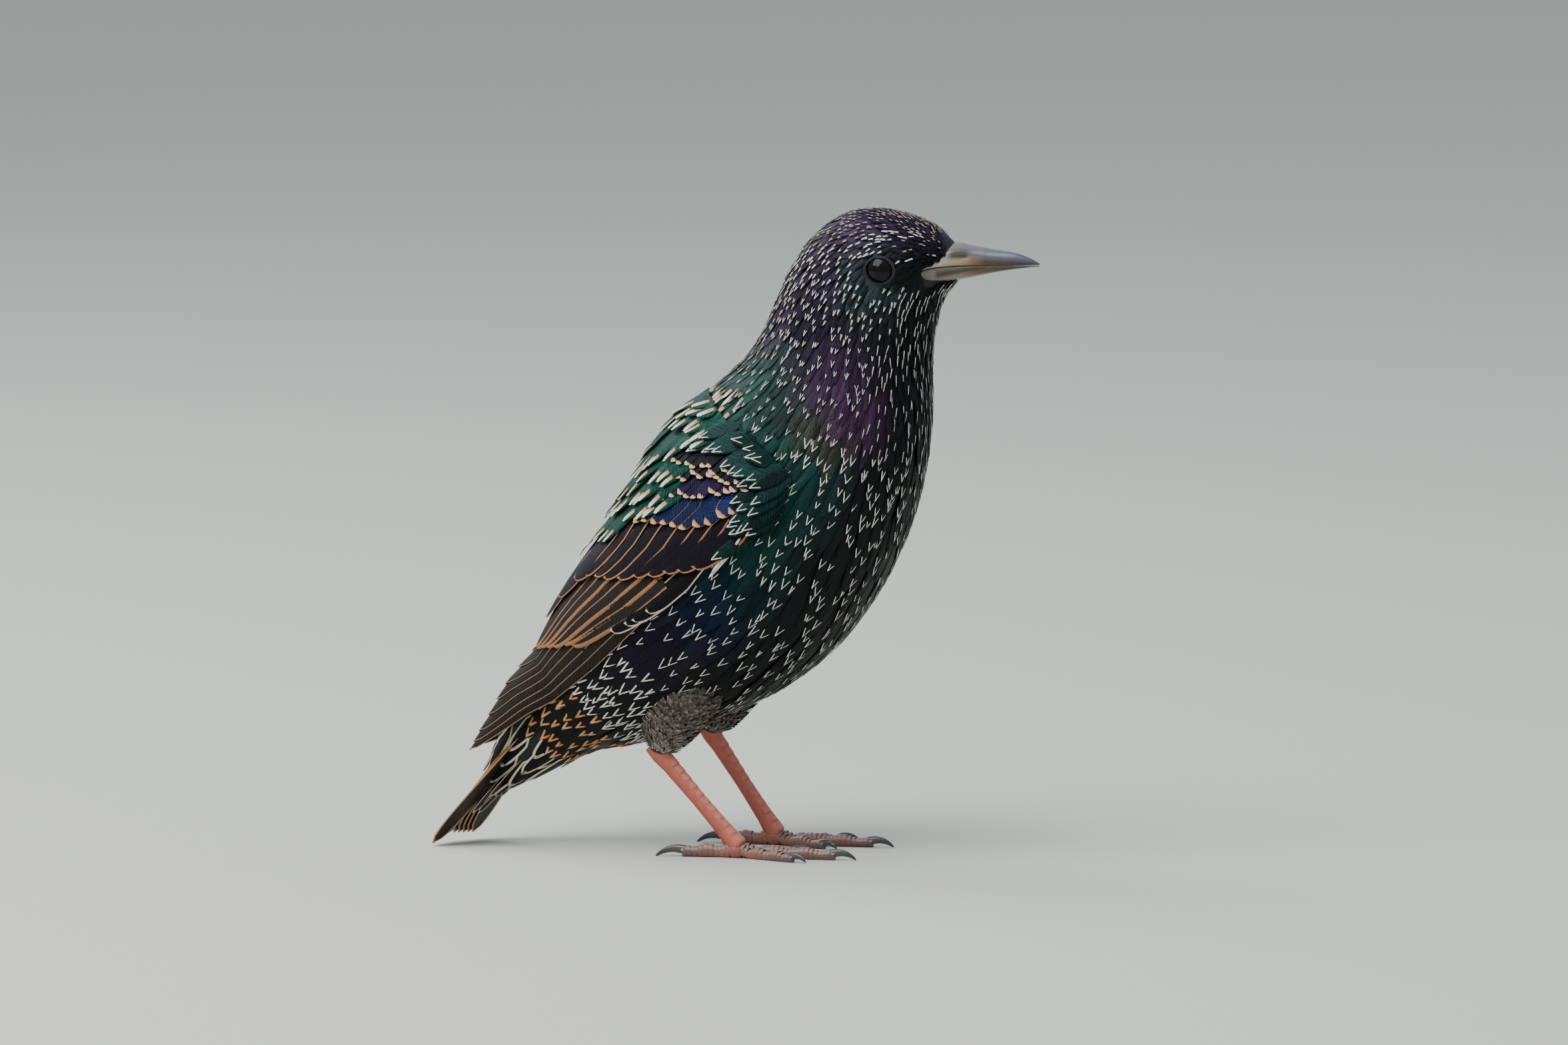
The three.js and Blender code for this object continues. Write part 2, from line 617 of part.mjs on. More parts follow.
function toeSolid(leg, toe) {
  const steps = toe.joints * 4;
  const rings = [];
  for (let i = 0; i <= steps; i++) {
    const s = i / steps;
    const round = Math.sqrt(Math.max(0.12, 1 - Math.max(0, (s - 0.9) / 0.1) ** 2 * 0.75));
    const r = toeThickness(toe, s) * round;
    const rise = Math.max(r * 0.9, 2.1 * (1 - s * 3)) + toe.joints * 0.28 * Math.sin(Math.PI * s);
    rings.push(Array.from({ length: TOE_SIDES }, (_, j) => {
      const angle = (2 * Math.PI * j) / TOE_SIDES;
      const up = Math.max(0, rise - toe.joints * 0.28 * Math.sin(Math.PI * s) * 0.9 + r * Math.sin(angle));
      return toeFrame(leg, toe, TOE_ROOT + s * toe.length, r * Math.cos(angle) * 0.95, up);
    }));
  }
  return loft(rings).trimByPlane([0, 0, 1], 0);
}

// A claw rises from the toe's end and curves down to a point just on the floor.
function clawSolid(leg, toe, grow) {
  const steps = 7;
  const rings = [];
  const base = toe.thick * 0.62;
  const floor = grow > 0 ? -1 : 0.02;
  for (let i = 0; i <= steps; i++) {
    const s = i / steps;
    const along = TOE_ROOT + toe.length - 1.6 - (i ? 0 : grow) + toe.claw * (s * 1.16 - 0.16 * s * s);
    const up = 1.35 + toe.claw * 0.42 * s - toe.claw * 0.585 * s * s;
    const r = base * (1 - s) ** 0.8 + 0.16 + grow;
    rings.push(Array.from({ length: 8 }, (_, j) => {
      const angle = (2 * Math.PI * j) / 8;
      const lean = 0.6 * s;
      const high = r * 1.15 * Math.sin(angle);
      return toeFrame(leg, toe, along + high * lean, r * 0.8 * Math.cos(angle), Math.max(floor, up + high));
    }));
  }
  return loft(rings);
}

function footSolid(leg, grow) {
  const stations = TARSUS_STATIONS.map(([s, d, w]) => [s, d + grow, w + grow]);
  const tarsus = limb(leg.hock, leg.ankle, stations, 14);
  const pad = new THREE.SphereGeometry(1, 14, 8).rotateX(Math.PI / 2);
  pad.scale(FOOT_PAD.radius + grow, FOOT_PAD.radius + grow, FOOT_PAD.high + grow);
  pad.translate(leg.ankle[0], leg.ankle[1], FOOT_PAD.high * 0.9);
  return tarsus.add(solidOf(pad)).trimByPlane([0, 0, 1], 0);
}

// Assembly

place('torso', betweenRibs(body, 'vent', 'neckBase'), PLUMAGE);
place('neck', betweenRibs(body, 'neckBase', 'nape'), PLUMAGE);
place('head', head(), PLUMAGE);
place('tail', tail(), TAIL_FINISH, COARSE);

const faceWithGap = joined([bodyWithGap, body.translate([GAP, 0, 0])]);
for (const [name, upper] of [['bill_upper', true], ['bill_lower', false]]) {
  const pits = joined([nostril(RIGHT), nostril(LEFT)]);
  const half = billHalf(upper).subtract(faceWithGap);
  place(name, upper ? half.subtract(pits) : half, BILL_FINISH);
}

const nearWing = place('wing_right', wing(RIGHT), WING_FINISH, COARSE);
placeMirrored('wing_left', nearWing);

for (const [name, side] of [['right', RIGHT], ['left', LEFT]]) {
  place(`eye_${name}`, ball(eyeCentre(side), EYE.radius), EYE_FINISH);

  const leg = LEGS[name];
  const { top, hock } = THIGH[name];
  const thigh = limb(top, hock, THIGH_STATIONS, 18);
  const wider = THIGH_STATIONS.map(([s, depth, width]) => [s === 1 ? 1.012 : s, depth + GAP, width + GAP]);
  const thighGrown = limb(top, hock, wider, 18);
  place(`thigh_${name}`, thigh.subtract(bodyWithGap), PLUMAGE);
  place(`tarsus_${name}`, footSolid(leg, 0).subtract(thighGrown), LEG_FINISH);

  const footGrown = footSolid(leg, GAP);
  let taken = footGrown;
  for (const [toeName, toe] of Object.entries(TOES)) {
    const claw = clawSolid(leg, toe, 0);
    const clawGrown = clawSolid(leg, toe, GAP);
    const flesh = toeSolid(leg, toe);
    place(`toe_${name}_${toeName}`, flesh.subtract(taken).subtract(clawGrown), LEG_FINISH);
    place(`claw_${name}_${toeName}`, claw, CLAW_FINISH);
    taken = taken.add(flesh);
  }
}

export default group;
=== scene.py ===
"""A common starling in winter plumage: glossy spotted feathers, horn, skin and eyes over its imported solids.

Lengths are in millimetres unless a name ends in _M. The bird faces +X, with its left along +Y and the floor at
z = 0. Places on the body are given as (t, a): t counts the ribs from the tail to the face, and a is the angle
round the rib from the back, positive on the left.
"""
import logging
import math
from dataclasses import dataclass, replace
from enum import Enum

import bpy
import numpy as np
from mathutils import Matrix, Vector
from mathutils.bvhtree import BVHTree


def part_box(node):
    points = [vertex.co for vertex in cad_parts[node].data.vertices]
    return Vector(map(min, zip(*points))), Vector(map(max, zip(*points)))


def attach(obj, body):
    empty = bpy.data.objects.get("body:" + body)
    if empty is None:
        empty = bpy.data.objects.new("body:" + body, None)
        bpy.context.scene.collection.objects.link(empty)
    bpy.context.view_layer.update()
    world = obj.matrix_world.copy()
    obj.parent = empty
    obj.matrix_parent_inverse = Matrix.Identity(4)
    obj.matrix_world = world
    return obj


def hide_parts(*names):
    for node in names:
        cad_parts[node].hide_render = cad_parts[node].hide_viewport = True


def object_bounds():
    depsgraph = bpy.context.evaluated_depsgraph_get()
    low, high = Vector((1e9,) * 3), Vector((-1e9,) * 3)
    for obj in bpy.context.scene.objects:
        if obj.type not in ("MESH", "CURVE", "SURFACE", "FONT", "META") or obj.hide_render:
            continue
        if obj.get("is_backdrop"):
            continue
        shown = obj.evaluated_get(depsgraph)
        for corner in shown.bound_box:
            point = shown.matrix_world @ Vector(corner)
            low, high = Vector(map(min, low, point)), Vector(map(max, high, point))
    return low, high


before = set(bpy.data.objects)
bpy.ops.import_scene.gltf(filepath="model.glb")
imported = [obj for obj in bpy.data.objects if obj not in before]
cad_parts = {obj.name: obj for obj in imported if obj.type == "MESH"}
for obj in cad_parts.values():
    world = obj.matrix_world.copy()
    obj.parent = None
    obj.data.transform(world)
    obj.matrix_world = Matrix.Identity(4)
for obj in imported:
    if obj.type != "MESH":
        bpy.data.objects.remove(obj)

log = logging.getLogger("starling")
Array = np.ndarray
Color = tuple[float, float, float]
MM = 0.001
SEED = 11
RIGHT, LEFT = -1, 1

# back x, back z, front x, front z, half width of each rib, from the tail to the face
RIBS = (
    (-67, 18.5, -63.6, 12.2, 3), (-59, 36, -48.5, 18.9, 9.5), (-52.5, 47.5, -36.5, 24.6, 15),
    (-48.5, 56.5, -26.5, 26.5, 19.5), (-43.2, 66.5, -13.5, 30.8, 24.5), (-37, 76.5, -0.5, 35.6, 28),
    (-30.5, 86, 13, 42.4, 30), (-24.5, 95.5, 26, 52.8, 30.5), (-18.5, 105, 36.8, 67, 29.8),
    (-11.5, 113.5, 44.3, 82, 27.8), (-4.2, 120.8, 48.8, 97.5, 24.6), (2.2, 126.8, 50.6, 112, 21),
    (6.9, 133.8, 50.7, 124.5, 17.6), (10.4, 142, 51.5, 133.6, 15.2), (13.9, 149.6, 53.1, 139.9, 13.9),
    (19.2, 157.4, 54.8, 143.7, 12.9), (26.4, 163.1, 56.6, 145.6, 12.1), (34, 165.3, 58.3, 146.9, 10.8),
    (42.6, 164.6, 59.6, 147.8, 8.6), (50.4, 162, 60, 148.6, 6.1), (55.2, 158.6, 59.4, 149.6, 4.2),
)
FACE_T = len(RIBS) - 1

WING_TIP = (-69, 25.5)
BODY_TILT = math.radians(50)
ALONG = np.array([math.cos(BODY_TILT), 0, math.sin(BODY_TILT)])
ACROSS = np.array([-math.sin(BODY_TILT), 0, math.cos(BODY_TILT)])


def srgb(red: int, green: int, blue: int) -> Color:
    """A linear colour from 0 to 255 display values."""
    return tuple(((c / 255 + 0.055) / 1.055) ** 2.4 if c > 10 else c / 255 / 12.92 for c in (red, green, blue))


def unit(v: Array) -> Array:
    """Vectors scaled to length one."""
    return v / np.maximum(np.linalg.norm(v, axis=-1, keepdims=True), 1e-9)


def dot(a: Array, b: Array) -> Array:
    """Dot products along the last axis."""
    return (a * b).sum(-1)


def catmull(keys: Array, t: Array) -> Array:
    """Uniform Catmull-Rom through the rows of keys.

    Args:
        keys: One row of numbers per key.
        t: Places from 0 to the last key's index.

    Returns:
        The rows at t, with one more axis than t.
    """
    last = len(keys) - 1
    t = np.clip(t, 0, last - 1e-6)
    i = np.minimum(t.astype(int), last - 1)
    f = (t - i)[..., None]
    p, q, r, s = (keys[np.clip(i + k, 0, last)] for k in (-1, 0, 1, 2))
    return 0.5 * (2 * q + (r - p) * f + (2 * p - 5 * q + 4 * r - s) * f**2 + (3 * q - p - 3 * r + s) * f**3)


class Form:
    """A smooth surface with places (t, a), on which feathers are laid."""

    end_t: float = 1.0

    def point(self, t: Array, a: Array) -> Array:
        """The surface's points at (t, a)."""
        raise NotImplementedError

    def frame(self, t: Array, a: Array) -> tuple[Array, Array, Array, Array]:
        """The point, its change with t and with a, and the outward normal."""
        h = 1e-3
        p = self.point(t, a)
        dt = (self.point(t + h, a) - self.point(t - h, a)) / (2 * h)
        da = (self.point(t, a + h) - self.point(t, a - h)) / (2 * h)
        return p, dt, da, unit(np.cross(dt, da))

    def shift(self, t: Array, a: Array, move: Array, dt: Array, da: Array) -> tuple[Array, Array]:
        """The places reached from (t, a) by a small move in space."""
        tt, ta, aa = dot(dt, dt), dot(dt, da), dot(da, da)
        mt, ma = dot(move, dt), dot(move, da)
        det = np.maximum(tt * aa - ta * ta, 1e-6)
        return t + (mt * aa - ma * ta) / det, a + (ma * tt - mt * ta) / det


class BodyForm(Form):
    """The body, neck and head out to the feather tips, as lofted ribs."""

    def __init__(self, grow: float = 0.0) -> None:
        """Keeps the ribs, each widened by grow."""
        self.keys = np.array(RIBS, float)
        self.grow = grow
        self.end_t = FACE_T

    def point(self, t: Array, a: Array) -> Array:
        """The surface's points at (t, a)."""
        k = catmull(self.keys, t)
        centre = np.stack([(k[..., 0] + k[..., 2]) / 2, (k[..., 1] + k[..., 3]) / 2], -1)
        reach = np.stack([(k[..., 0] - k[..., 2]) / 2, (k[..., 1] - k[..., 3]) / 2], -1)
        reach = reach * (1 + self.grow / np.linalg.norm(reach, axis=-1, keepdims=True))
        side = centre + reach * np.cos(a)[..., None]
        return np.stack([side[..., 0], (k[..., 4] + self.grow) * np.sin(a), side[..., 1]], -1)


class LimbForm(Form):
    """A limb as ellipses along a straight line, t from its foot end 0 to its top 1."""

    def __init__(self, top: Array, foot: Array, stations: tuple) -> None:
        """Keeps the line and its stations, each [share from the top, half depth, half width]."""
        self.top, self.foot = np.array(top, float), np.array(foot, float)
        self.stations = np.array(stations, float)
        self.way = unit(self.foot - self.top)
        self.wide = np.array([0.0, 1.0, 0.0])
        self.deep = unit(np.cross(self.wide, self.way))

    def point(self, t: Array, a: Array) -> Array:
        """The surface's points at (t, a)."""
        s = 1 - t
        depth = np.interp(s, self.stations[:, 0], self.stations[:, 1])[..., None]
        width = np.interp(s, self.stations[:, 0], self.stations[:, 2])[..., None]
        spine = self.top + (self.foot - self.top) * s[..., None]
        return spine - self.deep * depth * np.cos(a)[..., None] + self.wide * width * np.sin(a)[..., None]


class WingForm(Form):
    """The surface a folded wing lies on: u up the wing from its tip, and a round from the back.

    It follows the body by rays from a line inside it, and near the tips it is a saddle over the tail's root.
    """

    AXIS = ((0, -12), (20, -12), (44, -16), (68, -21), (92, -24), (115, -24))
    GRID_U, GRID_A = np.arange(-10, 116, 5.0), np.arange(0, 131, 10.0)
    TIP_RADIUS, TIP_TAPER, SADDLE_END = 13.2, 0.115, 42

    def __init__(self, body: BodyForm, side: int) -> None:
        """Measures the body by rays on the wing's own grid."""
        self.side = side
        t, a = np.meshgrid(np.linspace(0, FACE_T, 121), np.linspace(0, 2 * math.pi, 121), indexing="ij")
        points = body.point(t, a).reshape(-1, 3)
        faces = grid_faces(121, 121, 0)
        tree = BVHTree.FromPolygons([Vector(p) for p in points], faces.tolist())
        self.reach = np.array([[self._ray(tree, u, x) for x in self.GRID_A] for u in self.GRID_U])

    def _axis(self, u: Array) -> Array:
        """A point of the inner line at each u."""
        v = np.interp(u, *np.array(self.AXIS).T)[..., None]
        return np.array([WING_TIP[0], 0, WING_TIP[1]]) + ALONG * np.asarray(u)[..., None] + ACROSS * v

    def _ray(self, tree: BVHTree, u: float, degrees: float) -> float:
        """The body's distance from the inner line, or 0 beyond its end."""
        turn = math.radians(degrees)
        way = ACROSS * math.cos(turn) + np.array([0, 1, 0]) * math.sin(turn)
        start = self._axis(np.array(u))
        hit = tree.ray_cast(Vector(start + way * 90), Vector(-way), 90)[3]
        inside = tree.ray_cast(Vector(start), Vector(way))[0] is not None
        return 90 - hit if hit is not None and inside else 0.0

    def radius(self, u: Array, a: Array) -> Array:
        """Distance from the inner line to the surface."""
        row = np.clip((u - self.GRID_U[0]) / 5, 0, len(self.GRID_U) - 1.001)
        col = np.clip(np.degrees(a) / 10, 0, len(self.GRID_A) - 1.001)
        i, j = row.astype(int), col.astype(int)
        f, g = row - i, col - j
        r = self.reach
        low = r[i, j] * (1 - g) + r[i, j + 1] * g
        high = r[i + 1, j] * (1 - g) + r[i + 1, j + 1] * g
        tip = np.where(u < self.SADDLE_END, self.TIP_RADIUS + self.TIP_TAPER * u, 0)
        return np.maximum(low * (1 - f) + high * f, tip)

    def point(self, u: Array, a: Array) -> Array:
        """The surface's points."""
        u, a = np.asarray(u, float), np.asarray(a, float)
        way = ACROSS * np.cos(a)[..., None] + np.array([0, self.side, 0]) * np.sin(a)[..., None]
        return self._axis(u) + way * self.radius(u, a)[..., None]

    def place_of(self, p: Array) -> tuple[Array, Array]:
        """The (u, a) of points in space, on this wing's side."""
        rel = p - np.array([WING_TIP[0], 0, WING_TIP[1]])
        u = dot(rel, ALONG)
        v = dot(rel, ACROSS) - np.interp(u, *np.array(self.AXIS).T)
        return u, np.arctan2(self.side * p[..., 1], v)


class TailForm(Form):
    """The sheet that the tail feathers fan over: t from root 0 to tip 1, and a is millimetres sideways."""

    ROOT, TIP = np.array([-45, 43.5]), np.array([-78, -0.4])
    ROLL = math.radians(20)

    def point(self, t: Array, a: Array) -> Array:
        """The sheet's points."""
        run = self.TIP - self.ROOT
        up = np.array([-run[1], run[0]]) / np.hypot(*run)
        lift = -a * math.sin(self.ROLL) * t
        side = self.ROOT + run * t[..., None] - up * lift[..., None]
        return np.stack([side[..., 0], a * math.cos(self.ROLL), side[..., 1]], -1)


def grid_faces(rows: int, columns: int, start: int, wrap: bool = False) -> Array:
    """Quads of a grid of points.

    Args:
        rows: Points along.
        columns: Points across.
        start: Index of the first point.
        wrap: Whether the last column joins the first.

    Returns:
        An array of quads.
    """
    j = np.arange(columns if wrap else columns - 1)
    i = np.arange(rows - 1)
    a = (i[:, None] * columns + j[None]).ravel()
    b = (i[:, None] * columns + (j[None] + 1) % columns).ravel()
    return np.stack([a, b, b + columns, a + columns], -1) + start


class GridMesh:
    """Many grids of points joined into one mesh, with named values on the points."""

    def __init__(self) -> None:
        """Starts empty."""
        self.points: list[Array] = []
        self.faces: list[Array] = []
        self.values: dict[str, list[Array]] = {}
        self.uvs: list[Array] = []
        self.count = 0

    def add(self, points: Array, out: Array, wrap: bool = False, uv: Array | None = None, **values: Array) -> None:
        """Adds one grid or a stack of grids.

        Args:
            points: (..., rows, columns, 3) points.
            out: A direction that each grid's middle should face.
            wrap: Whether columns close on themselves.
            uv: (..., rows, columns, 2) places for the baked colours.
            values: Arrays of three or four numbers for each point.
        """
        grids = points.reshape(-1, *points.shape[-3:])
        n, rows, columns, _ = grids.shape
        faces = grid_faces(rows, columns, 0, wrap)
        i, j = rows // 2 - (rows > 2), 0 if wrap else columns // 2 - 1
        p, q, r = grids[:, i, j], grids[:, i, j + 1], grids[:, i + 1, j]
        turned = dot(np.cross(q - p, r - p), out.reshape(-1, 3)) < 0
        base = self.count + np.arange(n)[:, None, None] * rows * columns
        quads = np.where(turned[:, None, None], faces[None, :, ::-1], faces[None]) + base
        self.points.append(grids.reshape(-1, 3))
        self.faces.append(quads.reshape(-1, 4))
        for name, value in values.items():
            full = np.broadcast_to(value, (*points.shape[:-1], np.shape(value)[-1]))
            self.values.setdefault(name, []).append(full.reshape(-1, full.shape[-1]))
        if uv is not None:
            self.uvs.append(uv.reshape(-1, 2))
        self.count += n * rows * columns

    def build(self, name: str, material: bpy.types.Material) -> bpy.types.Object:
        """Makes the object, in metres, with smooth faces."""
        mesh = bpy.data.meshes.new(name)
        points, quads = np.concatenate(self.points) * MM, np.concatenate(self.faces)
        mesh.vertices.add(len(points))
        mesh.vertices.foreach_set("co", points.astype(np.float32).ravel())
        mesh.loops.add(quads.size)
        mesh.loops.foreach_set("vertex_index", quads.astype(np.int32).ravel())
        mesh.polygons.add(len(quads))
        mesh.polygons.foreach_set("loop_start", np.arange(0, quads.size, 4, dtype=np.int32))
        mesh.polygons.foreach_set("use_smooth", np.ones(len(quads), bool))
        for key, parts in self.values.items():
            full = np.concatenate(parts).astype(np.float32)
            kind, target = ("FLOAT_COLOR", "color") if full.shape[-1] == 4 else ("FLOAT_VECTOR", "vector")
            mesh.attributes.new(key, kind, "POINT").data.foreach_set(target, full.ravel())
        if self.uvs:
            flat = np.concatenate(self.uvs)[quads.ravel()].astype(np.float32)
            mesh.uv_layers.new(name="OFBake").data.foreach_set("uv", flat.ravel())
        mesh.update(calc_edges=True)
        mesh.materials.append(material)
        obj = bpy.data.objects.new(name, mesh)
        bpy.context.collection.objects.link(obj)
        return obj


# Shader maths


class Sock:
    """A socket that can be added, multiplied and compared in Python expressions."""

    def __init__(self, shade: "Shade", socket: bpy.types.NodeSocket) -> None:
        """Wraps one socket of the shade's tree."""
        self.shade, self.socket = shade, socket

    def _math(self, operation: str, *args: object) -> "Sock":
        return self.shade.node("ShaderNodeMath", {"operation": operation}, dict(enumerate(args)))[0]

    def __add__(self, other: object) -> "Sock":
        """This plus other."""
        return self._math("ADD", self, other)

    def __sub__(self, other: object) -> "Sock":
        """This minus other."""
        return self._math("SUBTRACT", self, other)

    def __rsub__(self, other: object) -> "Sock":
        """Other minus this."""
        return self._math("SUBTRACT", other, self)

    def __mul__(self, other: object) -> "Sock":
        """This times other."""
        return self._math("MULTIPLY", self, other)

    def __truediv__(self, other: object) -> "Sock":
        """This over other."""
        return self._math("DIVIDE", self, other)

    __radd__, __rmul__ = __add__, __mul__

    def magnitude(self) -> "Sock":
        """The absolute value."""
        return self._math("ABSOLUTE", self)

    def over(self, low: float, high: float) -> "Sock":
        """A smooth step from 0 at low to 1 at high."""
        settings = {"interpolation_type": "SMOOTHSTEP"}
        return self.shade.node("ShaderNodeMapRange", settings, {"Value": self, "From Min": low, "From Max": high})[0]

    def larger(self, other: object) -> "Sock":
        """The larger of this and other."""
        return self._math("MAXIMUM", self, other)


class Shade:
    """A new material's node tree and the means to build it."""

    def __init__(self, name: str) -> None:
        """Makes an empty material."""
        self.material = bpy.data.materials.new(name)
        self.material.use_nodes = True
        self.tree = self.material.node_tree
        self.tree.nodes.clear()

    def node(self, kind: str, settings: dict, inputs: dict) -> list[Sock]:
        """Adds a node.

        Args:
            kind: The node's type.
            settings: Attributes to set first.
            inputs: Values or sockets by input name or number.

        Returns:
            The node's outputs, wrapped.
        """
        made = self.tree.nodes.new(kind)
        for key, value in settings.items():
            setattr(made, key, value)
        for key, value in inputs.items():
            if isinstance(value, Sock):
                self.tree.links.new(value.socket, made.inputs[key])
            else:
                made.inputs[key].default_value = value
        return [Sock(self, s) for s in made.outputs if s.enabled]

    def named(self, name: str) -> tuple[Sock, Sock]:
        """A point value's vector and its fourth number."""
        outs = self.node("ShaderNodeAttribute", {"attribute_name": name}, {})
        return outs[0], outs[3]

    def split(self, vector: Sock) -> list[Sock]:
        """A vector's three numbers."""
        return self.node("ShaderNodeSeparateXYZ", {}, {0: vector})

    def noise(self, scale: float, detail: float = 2.0) -> Sock:
        """Noise over the object's own space, from 0 to 1."""
        where = self.node("ShaderNodeTexCoord", {}, {})[3]
        return self.node("ShaderNodeTexNoise", {}, {"Vector": where, "Scale": scale, "Detail": detail})[0]

    def line_noise(self, place: Sock, detail: float = 2.0) -> Sock:
        """Noise along one number."""
        settings = {"noise_dimensions": "1D"}
        return self.node("ShaderNodeTexNoise", settings, {"W": place, "Scale": 1.0, "Detail": detail})[0]

    def mix(self, factor: object, a: object, b: object) -> Sock:
        """Colour a at factor 0, b at 1."""
        inputs = {0: factor, 6: self.rgba(a), 7: self.rgba(b)}
        made = self.node("ShaderNodeMix", {"data_type": "RGBA"}, inputs)
        return made[-1]

    def scale(self, colour: object, factor: object) -> Sock:
        """A colour made lighter or darker."""
        made = self.node("ShaderNodeVectorMath", {"operation": "SCALE"}, {0: colour, "Scale": factor})
        return made[0]

    @staticmethod
    def rgba(colour: object) -> object:
        """A colour with its fourth number, or a socket as it is."""
        return (*colour, 1.0) if isinstance(colour, tuple) and len(colour) == 3 else colour

    def bump(self, height: Sock, distance: float, strength: float = 1.0) -> Sock:
        """A normal from a height, distance in metres."""
        inputs = {"Height": height, "Distance": distance, "Strength": strength}
        return self.node("ShaderNodeBump", {}, inputs)[0]

    def finish(self, **inputs: object) -> bpy.types.Material:
        """Ends the tree in a principled shader. Underscores in a name stand for spaces."""
        named = {key.replace("_", " "): self.rgba(value) for key, value in inputs.items()}
        shader = self.node("ShaderNodeBsdfPrincipled", {}, named)[0]
        self.node("ShaderNodeOutputMaterial", {}, {"Surface": shader})
        return self.material


@dataclass(frozen=True)
class FeatherFinish:
    """Glossy vanes whose ground, rim and tip marks come from values on the points."""

    name: str
    barb_across: float
    barb_along: float
    strands: float = 3.2
    rough: float = 0.4
    ragged: float = 0.5
    relief_M: float = 0.00008
    warm: Color = srgb(190, 122, 76)

    def make(self) -> bpy.types.Material:
        """Builds the material."""
        s = Shade(self.name)
        across_s, dist, seed = s.split(s.named("blade")[0])
        tip_long, wedge, core = s.split(s.named("marks")[0])
        half, edge, shaft = s.split(s.named("rim")[0])
        ground, metal = s.named("ground")
        pale, warmth = s.named("pale")
        across = across_s.magnitude()
        place = across * self.barb_across + dist * self.barb_along
        strand = s.line_noise(place * self.strands + seed * 57.0 + across_s.over(-0.01, 0.01) * 13.0)
        jag = (strand - 0.5) * self.ragged
        arm = (across - wedge * dist).magnitude()
        tip = (tip_long - dist + jag * 1.6).over(0, 0.14) * (core - arm + jag * 0.3).over(0, 0.1)
        rim = (across - half + edge + jag * 0.35).over(0, 0.12) * edge.over(0.01, 0.03)
        mask = tip.larger(rim)
        line = (1 - across.over(0.05, 0.14)) * shaft
        light = s.mix((dist / (tip_long + 0.01)).over(0.15, 1.0) * warmth, pale, self.warm)
        light = s.scale(light, strand * 0.7 + 0.62)
        fine = (strand - 0.28).over(0, 0.5)
        dark = s.scale(ground, fine * 1.9 + 0.22)
        color = s.mix(mask, dark, light)
        color = s.mix(line, color, s.scale(ground, 2.4))
        return s.finish(
            Base_Color=color,
            Metallic=metal * (1 - mask),
            Roughness=mask * 0.3 - fine * 0.16 + (self.rough + 0.1),
            Normal=s.bump(strand + line * 0.6, self.relief_M, 0.9),
            Specular_IOR_Level=0.14,
        )


@dataclass(frozen=True)
class PaintFinish:
    """A finish whose colour is on the points, broken by fine noise."""

    name: str
    rough: float
    grain: float = 900.0
    vary: float = 0.25
    relief_M: float = 0.00005
    specular: float = 0.5
    subsurface: float = 0.0
    coat: float = 0.0

    def make(self) -> bpy.types.Material:
        """Builds the material."""
        s = Shade(self.name)
        speck = s.noise(self.grain, 4.0)
        color = s.scale(s.named("paint")[0], speck * self.vary * 2 + (1 - self.vary))
        return s.finish(
            Base_Color=color,
            Roughness=(speck - 0.5) * 0.25 + self.rough,
            Normal=s.bump(speck, self.relief_M),
            Specular_IOR_Level=self.specular,
            Subsurface_Weight=self.subsurface,
            Subsurface_Scale=0.001,
            Coat_Weight=self.coat,
            Coat_Roughness=0.12,
        )


# Feathers


class Mark(Enum):
    """The pale mark at a feather's tip: length, spread of its two arms, and half their thickness, in mm."""

    NONE = (0.0, 0.0, 0.0)
    VEE = (2.5, 0.34, 0.17)
    NECK = (1.7, 0.24, 0.12)
    HEART = (3.0, 0.34, 0.25)
    DROP = (4.4, 0.0, 0.66)
    STREAK = (1.5, 0.1, 0.15)
    FINE = (2.6, 0.03, 0.1)
    FLECK = (1.3, 0.0, 0.3)
    BAR = (1.9, 0.0, 9.0)
    FRINGE = (0.7, 0.0, 9.0)


CREAM = srgb(236, 228, 206)
WHITE = srgb(228, 228, 222)
BUFF = srgb(206, 168, 128)
RUST = srgb(190, 128, 82)
BLACK = srgb(11, 11, 14)
PURPLE = srgb(50, 34, 58)
MAGENTA = srgb(72, 42, 74)
GREEN = srgb(14, 58, 48)
TEAL = srgb(14, 56, 54)
OLIVE = srgb(56, 56, 42)
NAVY = srgb(18, 23, 52)
PLUM = srgb(25, 18, 33)
SLATE = srgb(48, 46, 58)
CHEEK = srgb(38, 50, 52)


@dataclass(frozen=True)
class Sheen:
    """A patch of gloss on both sides of the body, fading with distance in mm."""

    t: float
    degrees: float
    reach: float
    color: Color


SHEENS = (
    Sheen(10, 22, 15, GREEN), Sheen(8, 20, 17, TEAL), Sheen(5.6, 15, 14, GREEN), Sheen(3.2, 15, 9, SLATE),
    Sheen(9.1, 92, 10, TEAL), Sheen(8.0, 82, 12, GREEN), Sheen(7.0, 100, 9, srgb(12, 36, 40)),
    Sheen(6.3, 100, 8, NAVY), Sheen(5, 92, 9, PLUM), Sheen(9.9, 99, 6.5, OLIVE), Sheen(10.6, 112, 5.5, MAGENTA),
    Sheen(11.4, 95, 6.5, PURPLE), Sheen(12.4, 70, 8, PLUM), Sheen(12.2, 20, 9, PURPLE), Sheen(14, 60, 7, srgb(40, 32, 50)),
    Sheen(14.2, 98, 6.5, CHEEK), Sheen(17, 20, 9, srgb(58, 46, 72)), Sheen(19, 0, 6, srgb(50, 44, 62)),
)


